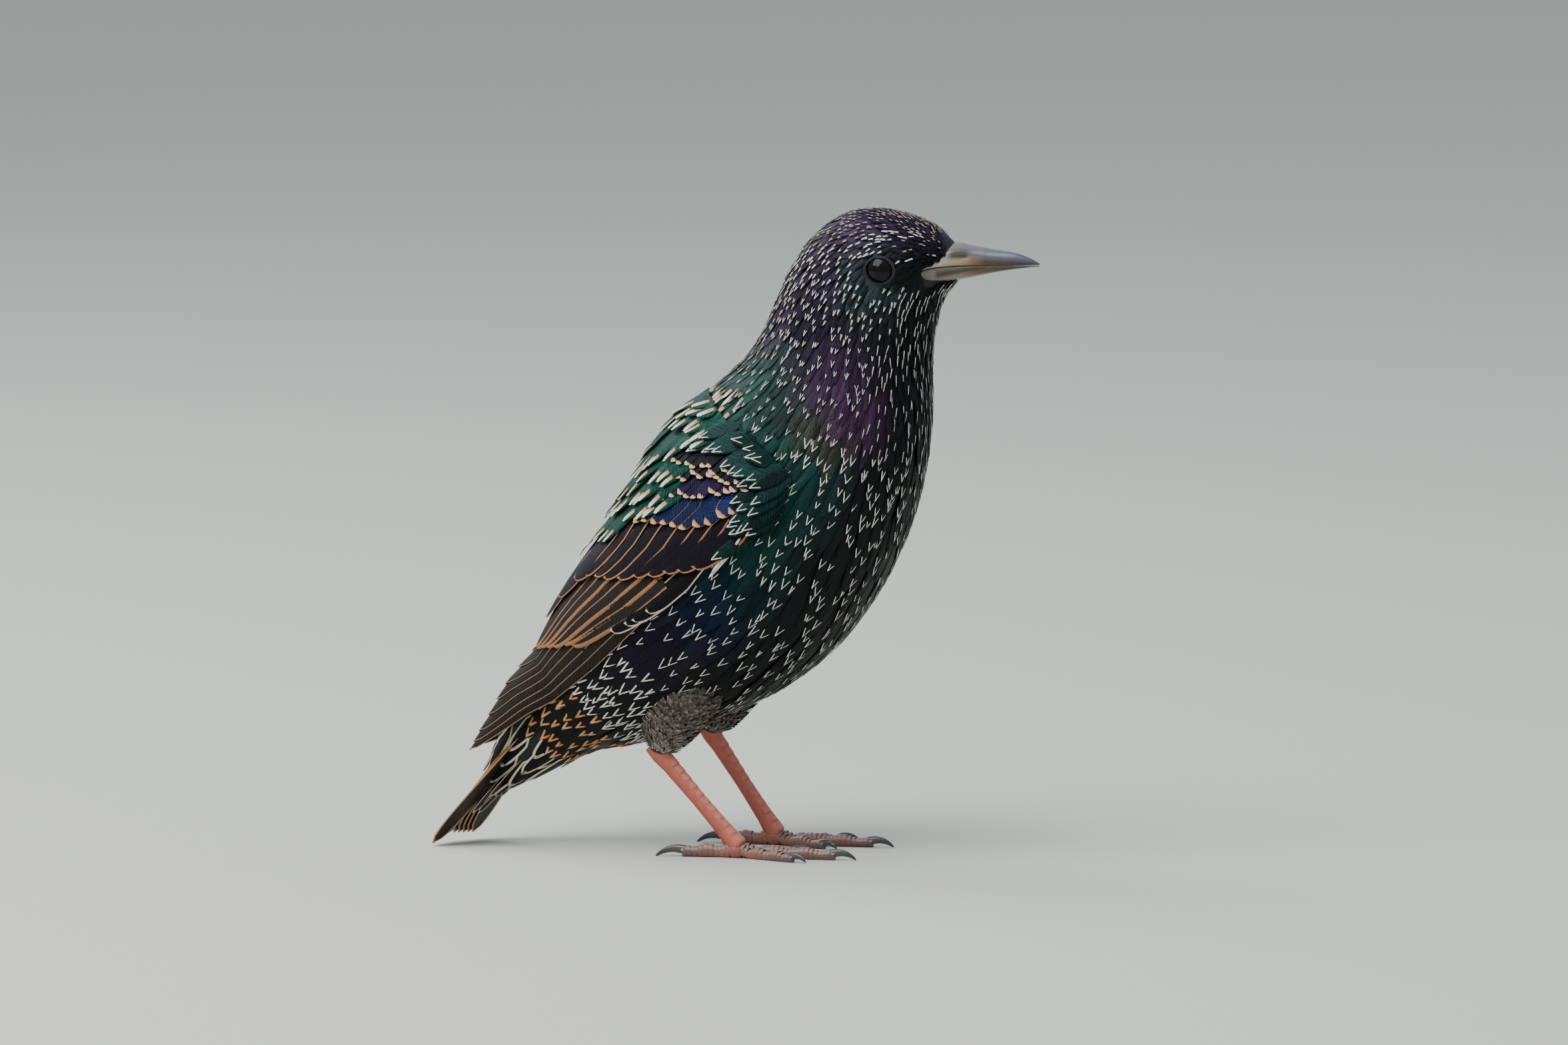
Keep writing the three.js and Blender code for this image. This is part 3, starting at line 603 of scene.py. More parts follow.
@dataclass
class Tract:
    """Stations of a value along the body: on the back, the side and the front at each t."""

    t: tuple
    back: tuple
    side: tuple
    front: tuple

    def at(self, t: Array, a: Array) -> Array:
        """The value at places (t, a), blended round the body by angle."""
        turn = np.abs((a + math.pi) % (2 * math.pi) - math.pi) / math.pi
        b, s, f = (np.interp(t, self.t, np.array(v, float)) for v in (self.back, self.side, self.front))
        return np.where(turn < 0.5, b + (s - b) * turn * 2, s + (f - s) * (turn * 2 - 1))


T_KEYS = (0, 2, 4, 6, 8, 10, 12, 14, 16, 18, 20)
LENGTH = Tract(T_KEYS, (14, 14, 13, 13, 12, 11, 9, 6.5, 4.2, 3, 2.2),
               (13, 13, 14, 17, 18, 16, 10.5, 4.6, 3.6, 2.8, 2.2),
               (13, 13, 13, 15, 15, 14, 11, 6.5, 4.6, 3.4, 2.4))
WIDTH = Tract(T_KEYS, (6, 6, 5.2, 4.8, 4.4, 3.6, 2.8, 2.3, 1.9, 1.6, 1.2),
              (6.8, 6.8, 4.4, 4.8, 4.4, 3.5, 2.6, 2.1, 1.8, 1.5, 1.1),
              (6.8, 6.8, 4.4, 4.6, 4.2, 3.4, 2.4, 1.9, 1.6, 1.4, 1.1))
SPACE = Tract(T_KEYS, (6, 6, 5, 4.8, 4.4, 3.3, 2.5, 2.1, 1.8, 1.5, 1.1),
              (6.2, 6.2, 3.6, 5, 4.6, 3.5, 2.5, 2.0, 1.7, 1.4, 1.0),
              (6.2, 6.2, 3.6, 4.3, 4, 3.4, 2.6, 2.0, 1.7, 1.4, 1.0))


def sheen(body: "BodyForm", where: Array) -> Array:
    """Ground colour and metallic share at points on the body.

    Args:
        body: The form that the patches lie on.
        where: Points.

    Returns:
        Rows of four numbers.
    """
    spots = np.array([body.point(np.array(s.t), np.array(math.radians(s.degrees))) for s in SHEENS])
    mirrored = where * np.where(where[..., 1:2] < 0, [1, -1, 1], [1, 1, 1])
    apart = np.linalg.norm(mirrored[..., None, :] - spots, axis=-1) / np.array([s.reach for s in SHEENS])
    share = np.exp(-apart**2)
    total = share.sum(-1, keepdims=True) + 0.22
    color = (share @ np.array([s.color for s in SHEENS]) + 0.22 * np.array(BLACK)) / total
    return np.concatenate([color, 0.15 + 0.55 * np.clip(share.sum(-1, keepdims=True), 0, 1)], -1)


def lay(form: Form, t: Array, a: Array, length: Array, width: Array, rows: int, columns: int,
        lift: tuple[float, float], turn: Array, ragged: float, rng: np.random.Generator) -> dict[str, Array]:
    """Lays pointed feathers on a form, from their roots towards lower t.

    Args:
        form: The surface.
        t: Roots' t.
        a: Roots' a.
        length: Feather lengths.
        width: Feather widths.
        rows: Points along each.
        columns: Points across each.
        lift: Height of the root and of the tip over the surface.
        turn: Turn from the lie, in radians.
        ragged: How far the tip's barbs stray, as a share of the length.
        rng: Seeded random numbers.

    Returns:
        points, out and blade arrays.
    """
    n = len(t)
    share = 1 - (1 - np.linspace(0, 1, rows)) ** 1.5
    side = np.linspace(-1, 1, columns)
    stray = rng.normal(0, 1, (n, columns)) * ragged
    stray[:, columns // 2] *= 0.3
    profile = np.minimum(1, 0.45 + 1.9 * share) * np.clip(1 - share, 0, 1) ** 0.4
    profile[-1] = 0.08
    points = np.empty((n, rows, columns, 3))
    blade = np.empty((n, rows, columns, 3))
    seed = rng.random(n)
    ct, ca = t.copy(), a.copy()
    steps = np.append(np.diff(share), 0)
    for k, s in enumerate(share):
        p, dt, da, out = form.frame(ct, ca)
        lie = unit(-dt)
        lie = unit(lie * np.cos(turn)[:, None] + np.cross(out, lie) * np.sin(turn)[:, None])
        cross = np.cross(out, lie)
        for j, x in enumerate(side):
            reach = 0.5 * width * profile[k] * x
            along = stray[:, j] * length * s**2
            move = cross * reach[:, None] + lie * along[:, None]
            jt, ja = form.shift(ct, ca, move, dt, da)
            jt = np.clip(jt, 0.02, form.end_t - 0.02)
            q, _, _, up = form.frame(jt, ja)
            height = lift[0] + (lift[1] - lift[0]) * s**0.8 - 0.05 * width * x**2 * (1 - s * 0.6)
            points[:, k, j] = q + up * height[:, None] if np.ndim(height) else q + up * height
            blade[:, k, j] = np.stack([reach, (1 - s) * length - along, seed], -1)
        ct, ca = form.shift(ct, ca, lie * (steps[k] * length)[:, None], dt, da)
        ct = np.clip(ct, 0.02, form.end_t - 0.02)
    _, _, _, out = form.frame(t, a)
    return {"points": points, "out": out, "blade": blade, "half": 0.5 * width[:, None] * profile[None]}


@dataclass
class BodyCoat:
    """The small feathers of the head, neck and body, in pieces, and the dark skin beneath them."""

    body: BodyForm
    wing: WingForm
    # height and x of the line where the feathers of the face end, from under the chin up to the forehead
    BARE = ((145.6, 54), (146.1, 52.2), (149.5, 50.2), (152.1, 53.4), (153.9, 56.4), (157.1, 56.9), (158.4, 64))

    depth: float = 1.1
    eye: tuple = (39.6, 150.4)
    eye_clear: float = 3.8
    tip: float = 0.05
    root: float = -0.85

    def skin(self) -> bpy.types.Object:
        """One dark skin under the coat, of body, neck and head."""
        inner = BodyForm(-self.depth)
        t, a = np.meshgrid(np.linspace(0.1, FACE_T, 150), np.linspace(0, 2 * math.pi, 72, endpoint=False), indexing="ij")
        points = inner.point(t, a)
        ends = [np.repeat(points[i].mean(0)[None, None], 72, 1) for i in (0, -1)]
        grid = GridMesh()
        full = np.concatenate([ends[0], points, ends[1]])
        middle = full[len(full) // 2, 0] - full[len(full) // 2].mean(0)
        grid.add(full, middle, wrap=True, paint=painted(sheen(self.body, full)[..., :3] * 0.35))
        return grid.build("skin", PaintFinish("skin_dark", 0.7).make())

    def roots(self, low: float, high: float, columns: int, rng: np.random.Generator) -> tuple[Array, Array]:
        """Feather roots in columns down the body between two t."""
        angle = (np.arange(columns) + 0.5) / columns * 2 * math.pi - math.pi
        stagger = (np.arange(columns) % 2) * 0.5
        t, a = np.full(columns, float(high)), angle.copy()
        _, dt, _, _ = self.body.frame(t, a)
        t = t - stagger * SPACE.at(t, a) / np.linalg.norm(dt, axis=-1)
        found: list[Array] = []
        while (t > low).any():
            live = t > low
            _, dt, da, _ = self.body.frame(t, a)
            step = SPACE.at(t, a) / np.linalg.norm(dt, axis=-1)
            shake = rng.normal(0, 0.13, (2, columns))
            apart = np.linalg.norm(da, axis=-1) * 2 * math.pi / columns
            wander = shake[1] * apart / np.maximum(np.linalg.norm(da, axis=-1), 1)
            found.append(np.stack([t + shake[0] * step, a + wander], -1)[live])
            t = t - step
        both = np.concatenate(found)
        return np.clip(both[:, 0], low, high), both[:, 1]

    def keep(self, t: Array, a: Array, length: Array) -> Array:
        """Which feathers stay: not over an eye, the bill or under a wing."""
        p, dt, _, _ = self.body.frame(t, a)
        tip = p + unit(-dt) * length[:, None] * 0.8
        near = np.hypot(p[:, 0] - self.eye[0], p[:, 2] - self.eye[1])
        ahead = np.hypot(tip[:, 0] - self.eye[0], tip[:, 2] - self.eye[1])
        middle = np.hypot((p + tip)[:, 0] / 2 - self.eye[0], (p + tip)[:, 2] / 2 - self.eye[1])
        clear = (np.abs(p[:, 1]) < 5) | (np.minimum(np.minimum(near, ahead), middle) > self.eye_clear)
        gape = (p[:, 0] > np.interp(p[:, 2], *np.array(self.BARE).T)) & (p[:, 2] > 146.1 + 0.245 * (p[:, 0] - 52))
        u, turn = self.wing.place_of(p * np.where(p[:, 1:2] * self.wing.side < 0, [1, -1, 1], [1, 1, 1]))
        deg = np.degrees(turn)
        low = np.interp(u, (34, 60, 84, 104), (58, 70, 76, 60))
        under = (u > 30) & (u < 94) & (deg > 30) & (deg < low)
        return clear & ~gape & ~under

    def marks(self, t: Array, a: Array, rng: np.random.Generator) -> tuple[Array, Array]:
        """Each feather's tip mark and its colour with warmth."""
        n = len(t)
        turn = np.abs(np.degrees((a + math.pi) % (2 * math.pi) - math.pi))
        kind = np.tile(np.array(Mark.VEE.value), (n, 1))
        pale = np.tile(np.array([*WHITE, 0.1]), (n, 1))
        back = turn < 52
        rear = (t < 5.6) & (turn > 75)
        kind[rear] = Mark.HEART.value
        kind[back & (t < 12.5)] = Mark.DROP.value
        neck = (t > 11) & (t <= 14.5)
        kind[neck] = Mark.NECK.value
        kind[t > 14.5] = Mark.STREAK.value
        kind[(t > 11) & (t < 16.5) & (turn > 118)] = Mark.FINE.value
        kind[:, 0] *= (1 - 0.12 * np.clip((t - 7) / 5, 0, 1)) * rng.normal(1, 0.14, n)
        kind[:, 1] *= np.clip(rng.normal(1, 0.2, n), 0.4, 1.6)
        p = self.body.point(t, a)
        ahead, above = p[:, 0] - self.eye[0], p[:, 2] - self.eye[1]
        lore = (ahead > 2) & (np.abs(above - 0.3) < 3.2 - 0.04 * ahead)
        below = (t > 13.4) & (above < -2) & (above > -13) & (ahead > -13) & (turn < 125)
        crown = (t > 15) & (turn < 62) & (above > 8)
        brow = (above > 3.6) & (above <= 8) & (t > 15)
        front = brow & (ahead > 3)
        kind[lore] = 0
        kind[below] = (1.4, 0.14, 0.13)
        kind[crown] *= (0.7, 1, 0.85)
        kind[front] *= (0.6, 1, 0.9)
        throat = (t > 11) & (t < 16.5) & (turn > 118)
        chance = np.select([crown, below, front, brow, throat, t > 14.5, back, rear],
                           [0.3, 0.08, 0.7, 0.1, 0.2, 0.22, 0.1, 0.05], 0.2)
        kind[rng.random(n) < chance] = 0
        pale[back & (t < 12.5)] = (*CREAM, 0.9)
        pale[back & (t >= 12.5)] = (*CREAM, 0.2)
        pale[crown] = (*srgb(206, 186, 162), 0.2)
        pale[below] = (*srgb(206, 210, 204), 0.1)
        pale[front] = (*srgb(176, 166, 150), 0.1)
        warm = (t < 3.9) & (t >= 2.2) & (turn > 55)
        pale[warm] = (*srgb(214, 164, 116), 1.0)
        pale[warm, :3] *= rng.uniform(0.6, 1.15, (warm.sum(), 1)) ** (0.2, 1.0, 1.6)
        kind[warm] *= (0.85, 1, 1.35)
        kind[t < 2.2] = 0
        pale[t < 2.2] = (*srgb(206, 196, 172), 0.0)
        return kind, pale

    def piece(self, name: str, low: float, high: float, columns: int, shape: tuple[int, int],
              material: bpy.types.Material, rng: np.random.Generator) -> bpy.types.Object:
        """One piece of the coat between two t."""
        t, a = self.roots(low, high, columns, rng)
        length = LENGTH.at(t, a) * rng.normal(1, 0.06, len(t))
        stay = self.keep(t, a, length)
        t, a, length = t[stay], a[stay], length[stay]
        width = WIDTH.at(t, a) * rng.normal(1, 0.05, len(t))
        made = lay(self.body, t, a, length, width, *shape, (self.root, self.tip), rng.normal(0, 0.09, len(t)), 0.035, rng)
        kind, pale = self.marks(t, a, rng)
        p, dt, _, _ = self.body.frame(t, a)
        ground = sheen(self.body, p + unit(-dt) * length[:, None] * 0.75)
        ahead, above = p[:, 0] - self.eye[0], p[:, 2] - self.eye[1]
        lore = (ahead > 2) & (np.abs(above - 0.3) < 3.4 - 0.04 * ahead)
        ground[:, :3] *= np.clip(rng.normal(1, 0.22, (len(t), 1)), 0.4, 1.8) * np.where(lore[:, None], 0.2, 1)
        ground[lore, 3] = 0
        per = (len(t), 1, 1)
        rim = np.zeros((*made["points"].shape[:3], 3))
        rim[..., 0] = made["half"][:, :, None]
        turn = np.abs(np.degrees((a + math.pi) % (2 * math.pi) - math.pi))
        rim[..., 1] = np.where(t < 2.2, 0.62, 0)[:, None, None]
        home = np.stack([0.5 + a / (2 * math.pi) * 0.96, 0.02 + t / FACE_T * 0.96], -1)
        spread = np.stack(np.meshgrid(np.linspace(-1, 1, shape[1]), np.linspace(1, -1, shape[0])), -1) * 0.0015
        grid = GridMesh()
        grid.add(made["points"], made["out"], uv=home[:, None, None] + spread, blade=made["blade"],
                 ground=ground.reshape(*per, 4), pale=pale.reshape(*per, 4), marks=kind.reshape(*per, 3), rim=rim)
        return grid.build(name, material)

    def build(self, rng: np.random.Generator) -> list[bpy.types.Object]:
        """All pieces of the coat."""
        hackle = FeatherFinish("hackle_sheen", 2.2, 0.35, ragged=0.3).make()
        small = FeatherFinish("head_sheen", 2.6, 0.6, ragged=0.14, relief_M=0.00005).make()
        return [
            self.piece("coat_undertail", 0.7, 2.2, 9, (16, 15), hackle, rng),
            self.piece("coat_vent", 2.2, 4.2, 30, (10, 9), hackle, rng),
            self.piece("coat_belly", 4.0, 7.0, 50, (10, 9), hackle, rng),
            self.piece("coat_breast", 7.0, 10.6, 60, (10, 9), hackle, rng),
            self.piece("coat_neck", 10.6, 13.8, 74, (9, 7), hackle, rng),
            self.piece("coat_cheek", 13.8, 17.0, 70, (8, 7), small, rng),
            self.piece("coat_face", 17.0, 19.9, 60, (7, 7), small, rng),
        ]


def spread(tips: tuple, count: int) -> list[tuple[float, tuple]]:
    """Count places along a line of tips, each with its share of the way."""
    shares = np.linspace(0, 1, count)
    keys = np.array(tips, float)
    at = np.linspace(0, 1, len(keys))
    return [(f, (np.interp(f, at, keys[:, 0]), np.interp(f, at, keys[:, 1]))) for f in shares]


@dataclass
class Vane:
    """One long feather on a wing or the tail."""

    root: tuple
    tip: tuple
    width: float
    lift: tuple
    ground: Color
    pale: Color
    edge: float = 0.0
    mark: Mark = Mark.NONE
    tilt: float = 0.5
    metal: float = 0.3
    warmth: float = 0.3
    blunt: float = 2.4
    thick: float = 0.16
    crown: float = 0.25
    scale: float = 1.0
    bow: float = 0.0
    shaft: float = 0.5
    stray: float = 0.4
    vary: float = 0.06


def lay_vane(grid: GridMesh, form: Form, vane: Vane, cell: int, rng: np.random.Generator,
             degrees: bool = True, rows: int = 22, columns: int = 9) -> None:
    """Adds one vane as a thin closed plate along a line on a form.

    Args:
        grid: The mesh to add to.
        form: The surface that the vane lies on.
        vane: Its place, size and colours.
        cell: Its square in the baked colours.
        rng: Seeded random numbers.
        degrees: Whether the second coordinate is an angle in degrees.
        rows: Points along.
        columns: Points across.
    """
    s, x = np.meshgrid(np.linspace(0, 1, rows) ** 0.85, np.linspace(-1, 1, columns), indexing="ij")
    root, tip = np.array(vane.root, float), np.array(vane.tip, float)
    if degrees:
        root[1], tip[1] = math.radians(root[1]), math.radians(tip[1])
    middle = root + (tip - root) * s[..., None]
    middle[..., 1] += math.radians(vane.bow) * np.sin(math.pi * s)
    p, dt, da, out = form.frame(middle[..., 0], middle[..., 1])
    way = unit(dt * (tip - root)[0] + da * (tip - root)[1])
    facing = out * np.sign(dot(out, OUT_OF[type(form)](p)))[..., None]
    cross = np.cross(facing, way)
    length = np.linalg.norm(np.diff(p[:, 0], axis=0), axis=-1).sum()
    profile = np.minimum(1, 0.5 + 1.4 * s) * np.clip(1 - s**(vane.blunt * 3.2), 0, 1) ** 0.5
    profile = np.maximum(profile, 0.02)
    reach = 0.5 * vane.width * profile * x
    t, a = form.shift(middle[..., 0], middle[..., 1], cross * reach[..., None], dt, da)
    q, _, _, up = form.frame(t, a)
    up = up * np.sign(dot(up, facing))[..., None]
    ripple = rng.normal(0, 0.02, (1, columns))
    rise = vane.lift[0] + (vane.lift[1] - vane.lift[0]) * s + vane.tilt * x / 2 + vane.crown * (1 - x**2) + ripple
    top = q + up * rise[..., None]
    under = top - up * (vane.thick * (0.2 + 0.8 * (1 - x**4)))[..., None]
    points = np.concatenate([top, under[:, ::-1]], 1)
    signed = np.concatenate([reach, reach[:, ::-1]], 1)
    dist = np.concatenate([(1 - s) * length] * 2, 1)
    seed = np.full_like(signed, rng.random())
    half = np.concatenate([0.5 * vane.width * profile] * 2, 1)
    rim = np.stack([half, np.full_like(half, vane.edge), np.full_like(half, vane.shaft)], -1)
    marks = np.array(vane.mark.value) * (vane.scale, 1, vane.scale)
    column, row = cell % 12, cell // 12
    uv = np.stack([
        (column + 0.5 + 0.4 * np.concatenate([x, x[:, ::-1] * 0.9], 1)) / 12,
        (row + 0.1 + 0.8 * np.concatenate([s, s], 1)) / 12,
    ], -1)
    tone = np.clip(rng.normal(1, vane.vary), 0.4, 2)
    grid.add(points, facing[rows // 2 - 1, 0], wrap=True, uv=uv, blade=np.stack([signed, dist, seed], -1),
             ground=np.array([*(c * tone for c in vane.ground), vane.metal]),
             pale=np.array([*vane.pale, vane.warmth]), marks=marks, rim=rim)


OUT_OF = {
    WingForm: lambda p: p - np.array([WING_TIP[0], 0, WING_TIP[1]]) - ALONG * dot(
        p - np.array([WING_TIP[0], 0, WING_TIP[1]]), ALONG)[..., None] + ACROSS * 20,
    TailForm: lambda p: np.broadcast_to(ACROSS, p.shape),
}


@dataclass
class Wing:
    """One folded wing, tier over tier from the outer flight feathers to the coverts and scapulars."""

    form: WingForm
    primary_tips: tuple = ((0, 34), (2.5, 32), (6.5, 30), (11.5, 27), (17.5, 24), (24, 21), (30, 19))
    secondary_tips: tuple = ((42, 62), (38.5, 52), (35.5, 43), (33, 34), (32, 26))
    tertial_tips: tuple = ((40, 18), (47, 24), (54, 31))
    greater_tips: tuple = ((80, 80), (75, 74), (70.5, 68), (66, 61), (61, 52), (58, 42), (56, 32))
    median_tips: tuple = ((97, 74), (91, 70), (86, 64), (83, 57), (80, 49), (77, 41))
    lesser_rows: tuple = (((102, 71), (97, 63), (92, 54), (87, 45)), ((103, 67), (100, 58), (96, 49), (91, 41)),
                          ((103, 62), (101, 53), (98, 45), (95, 36)))
    cape_rows: tuple = (((88, 83), (94, 79), (99, 74), (103, 65), (103, 52), (101, 40)),
                        ((94, 86), (99, 82), (104, 76), (107, 66), (107, 54), (105, 40)))
    primary_covert_tips: tuple = ((53, 76), (58, 79), (63, 81))
    scapular_rows: tuple = (((61, 13), (64, 23), (67, 33), (75, 42), (82, 48)), ((67, 11), (71, 21), (77, 32), (84, 42)),
                            ((74, 10), (79, 21), (85, 32), (91, 43)), ((81, 9), (87, 20), (93, 30), (98, 40)),
                            ((89, 8), (95, 18), (100, 28), (105, 37)), ((98, 8), (103, 18), (108, 28)))
    flight: Color = srgb(33, 28, 27)
    edge_buff: Color = srgb(158, 114, 82)
    dusk: Color = srgb(16, 12, 22)
    ink: Color = srgb(12, 14, 24)
    blue: Color = srgb(13, 24, 58)
    grape: Color = srgb(22, 14, 40)
    cape: Color = srgb(10, 38, 36)

    def vanes(self) -> list[Vane]:
        """All vanes, lowest tier first."""
        dark, buff = self.flight, self.edge_buff
        out: list[Vane] = []
        for f, tip in spread(self.primary_tips, 8):
            out.append(Vane((66 - 4 * f, 79 - 34 * f), tip, 8.2 - f, (0.5, 0.3 + 1.1 * f), dark, srgb(150, 128, 108), 0.3,
                            Mark.FRINGE, blunt=1.6, thick=0.3, bow=14 * (1 - f) ** 1.5))
        for f, tip in spread(self.primary_covert_tips, 4):
            out.append(Vane((tip[0] + 19, 82), tip, 5.5, (0.7, 1.2), BLACK, CREAM, 0.4, Mark.FRINGE))
        for f, tip in spread(self.secondary_tips, 7):
            out.append(Vane((72 - 2 * f, 76 - 38 * f), tip, 8.5, (0.8, 1.25 + 0.5 * f), dark, srgb(136, 102, 76), 1.1,
                            Mark.FRINGE, metal=0.1, shaft=0.2))
        for f, tip in spread(self.tertial_tips, 3):
            out.append(Vane((76, 28 + 12 * f), tip, 10, (1, 2.1 + 0.2 * f), self.dusk, buff, 0.6, Mark.FRINGE, metal=0.3))
        for f, tip in spread(self.greater_tips, 10):
            out.append(Vane((tip[0] + 22, tip[1] + 2 - 4 * f), tip, 7, (0.9, 1.9), self.dusk, srgb(186, 130, 90), 0.5,
                            Mark.FRINGE, metal=0.35, tilt=0.9))
        for f, tip in spread(self.median_tips, 10):
            out.append(Vane((tip[0] + 13, tip[1] - 2), tip, 4.8, (0.8, 2.0), self.blue, srgb(206, 164, 120), 0.16,
                            Mark.BAR, metal=0.4, warmth=0.9, scale=0.75, blunt=2.6, thick=0.08, crown=0.12, shaft=0.15,
                            vary=0.3))
        for k, row in enumerate(self.lesser_rows):
            for f, tip in spread(row, 11 - k):
                out.append(Vane((min(tip[0] + 10, 113), tip[1] - 3), tip, 3.9, (0.7, 2.2 + 0.1 * k), (self.grape, self.ink)[k > 0],
                                srgb(214, 190, 158), 0, Mark.BAR, metal=0.35, warmth=0.7, scale=0.62, blunt=2.6,
                                thick=0.08, crown=0.12, shaft=0.15, stray=0.6, vary=0.3))
        for k, row in enumerate(self.scapular_rows):
            for f, tip in spread(row, 9 - k // 2):
                out.append(Vane((min(tip[0] + 18, 112), tip[1] + 2), tip, 4.6, (0.7, 2.5 + 0.12 * k), GREEN, CREAM, 0,
                                Mark.DROP, tilt=0.3, metal=0.6, warmth=0.9, blunt=0.9, stray=2.2))
        for k, row in enumerate(self.cape_rows):
            for f, tip in spread(row, 13):
                out.append(Vane((min(tip[0] + 11, 114), tip[1] + 6), tip, 4.2, (0.5, 2.9 + 0.15 * k), self.cape, WHITE, 0,
                                Mark.VEE, tilt=0.2, metal=0.4, blunt=0.8, thick=0.08, crown=0.12, shaft=0,
                                stray=1.7, vary=0.3))
        for k in range(3):
            out.append(Vane((103 - 2 * k, 82 + k), (86 - 3 * k, 87 + 0.8 * k), 1.6, (0.6, 2.1), srgb(226, 222, 212), WHITE,
                            0.4, metal=0.0, blunt=0.8, shaft=0))
        return out

    def build(self, name: str, material: bpy.types.Material, rng: np.random.Generator) -> bpy.types.Object:
        """The wing as one mesh."""
        grid = GridMesh()
        for cell, vane in enumerate(self.vanes()):
            shaken = tuple(x + y for x, y in zip(vane.tip, rng.normal(0, (vane.stray, 0.7 * vane.stray))))
            lay_vane(grid, self.form, replace(vane, tip=shaken), cell, rng)
        return grid.build(name, material)


@dataclass
class Tail:
    """Twelve tail feathers in two halves with the coverts under their roots."""

    form: TailForm
    half: int = 6
    width: float = 9
    spread: tuple = (0.5, 1.35)
    ground: Color = srgb(46, 39, 36)
    outer: Color = srgb(206, 166, 128)
    # coverts under the tail: share of its length at root and tip, sideways steps, depths below it, width
    coverts: tuple = ((0.12, 0.78, (1.4,), -5.6, -2.6, 6.5), (0.08, 0.66, (3.2,), -6.8, -4.2, 6.5),
                      (0.04, 0.55, (1.2,), -8.4, -5.8, 7))

    def build(self, material: bpy.types.Material, rng: np.random.Generator) -> bpy.types.Object:
        """The tail as one mesh."""
        grid = GridMesh()
        cell = 0
        for side in (RIGHT, LEFT):
            for k in range(self.half):
                step = k + 0.5
                long = 0.94 - 0.052 * side * step / self.half
                vane = Vane((0, side * step * self.spread[0]), (long, side * step * self.spread[1]), self.width,
                            (0.4 - 0.42 * k, 0.4 - 0.42 * k), self.ground, self.outer, 0.7, Mark.FRINGE, tilt=0.0,
                            metal=0.15, blunt=2.2, thick=0.3)
                lay_vane(grid, self.form, vane, cell, rng, degrees=False)
                cell += 1
        for start, long, steps, drop, rest, width in self.coverts:
            for step in steps:
                for side in (RIGHT, LEFT):
                    low, high = (side * step * np.interp(s, (0, 1), self.spread) for s in (start, long))
                    vane = Vane((start, low), (long, high), width, (drop, rest), BLACK, srgb(206, 196, 172), 0.55,
                                Mark.FRINGE, tilt=0.0, metal=0.2, blunt=1.4, shaft=0.0)
                    lay_vane(grid, self.form, vane, cell, rng, degrees=False)
                    cell += 1
        return grid.build("tail_feathers", material)


# Rows of small pieces, set by Geometry Nodes


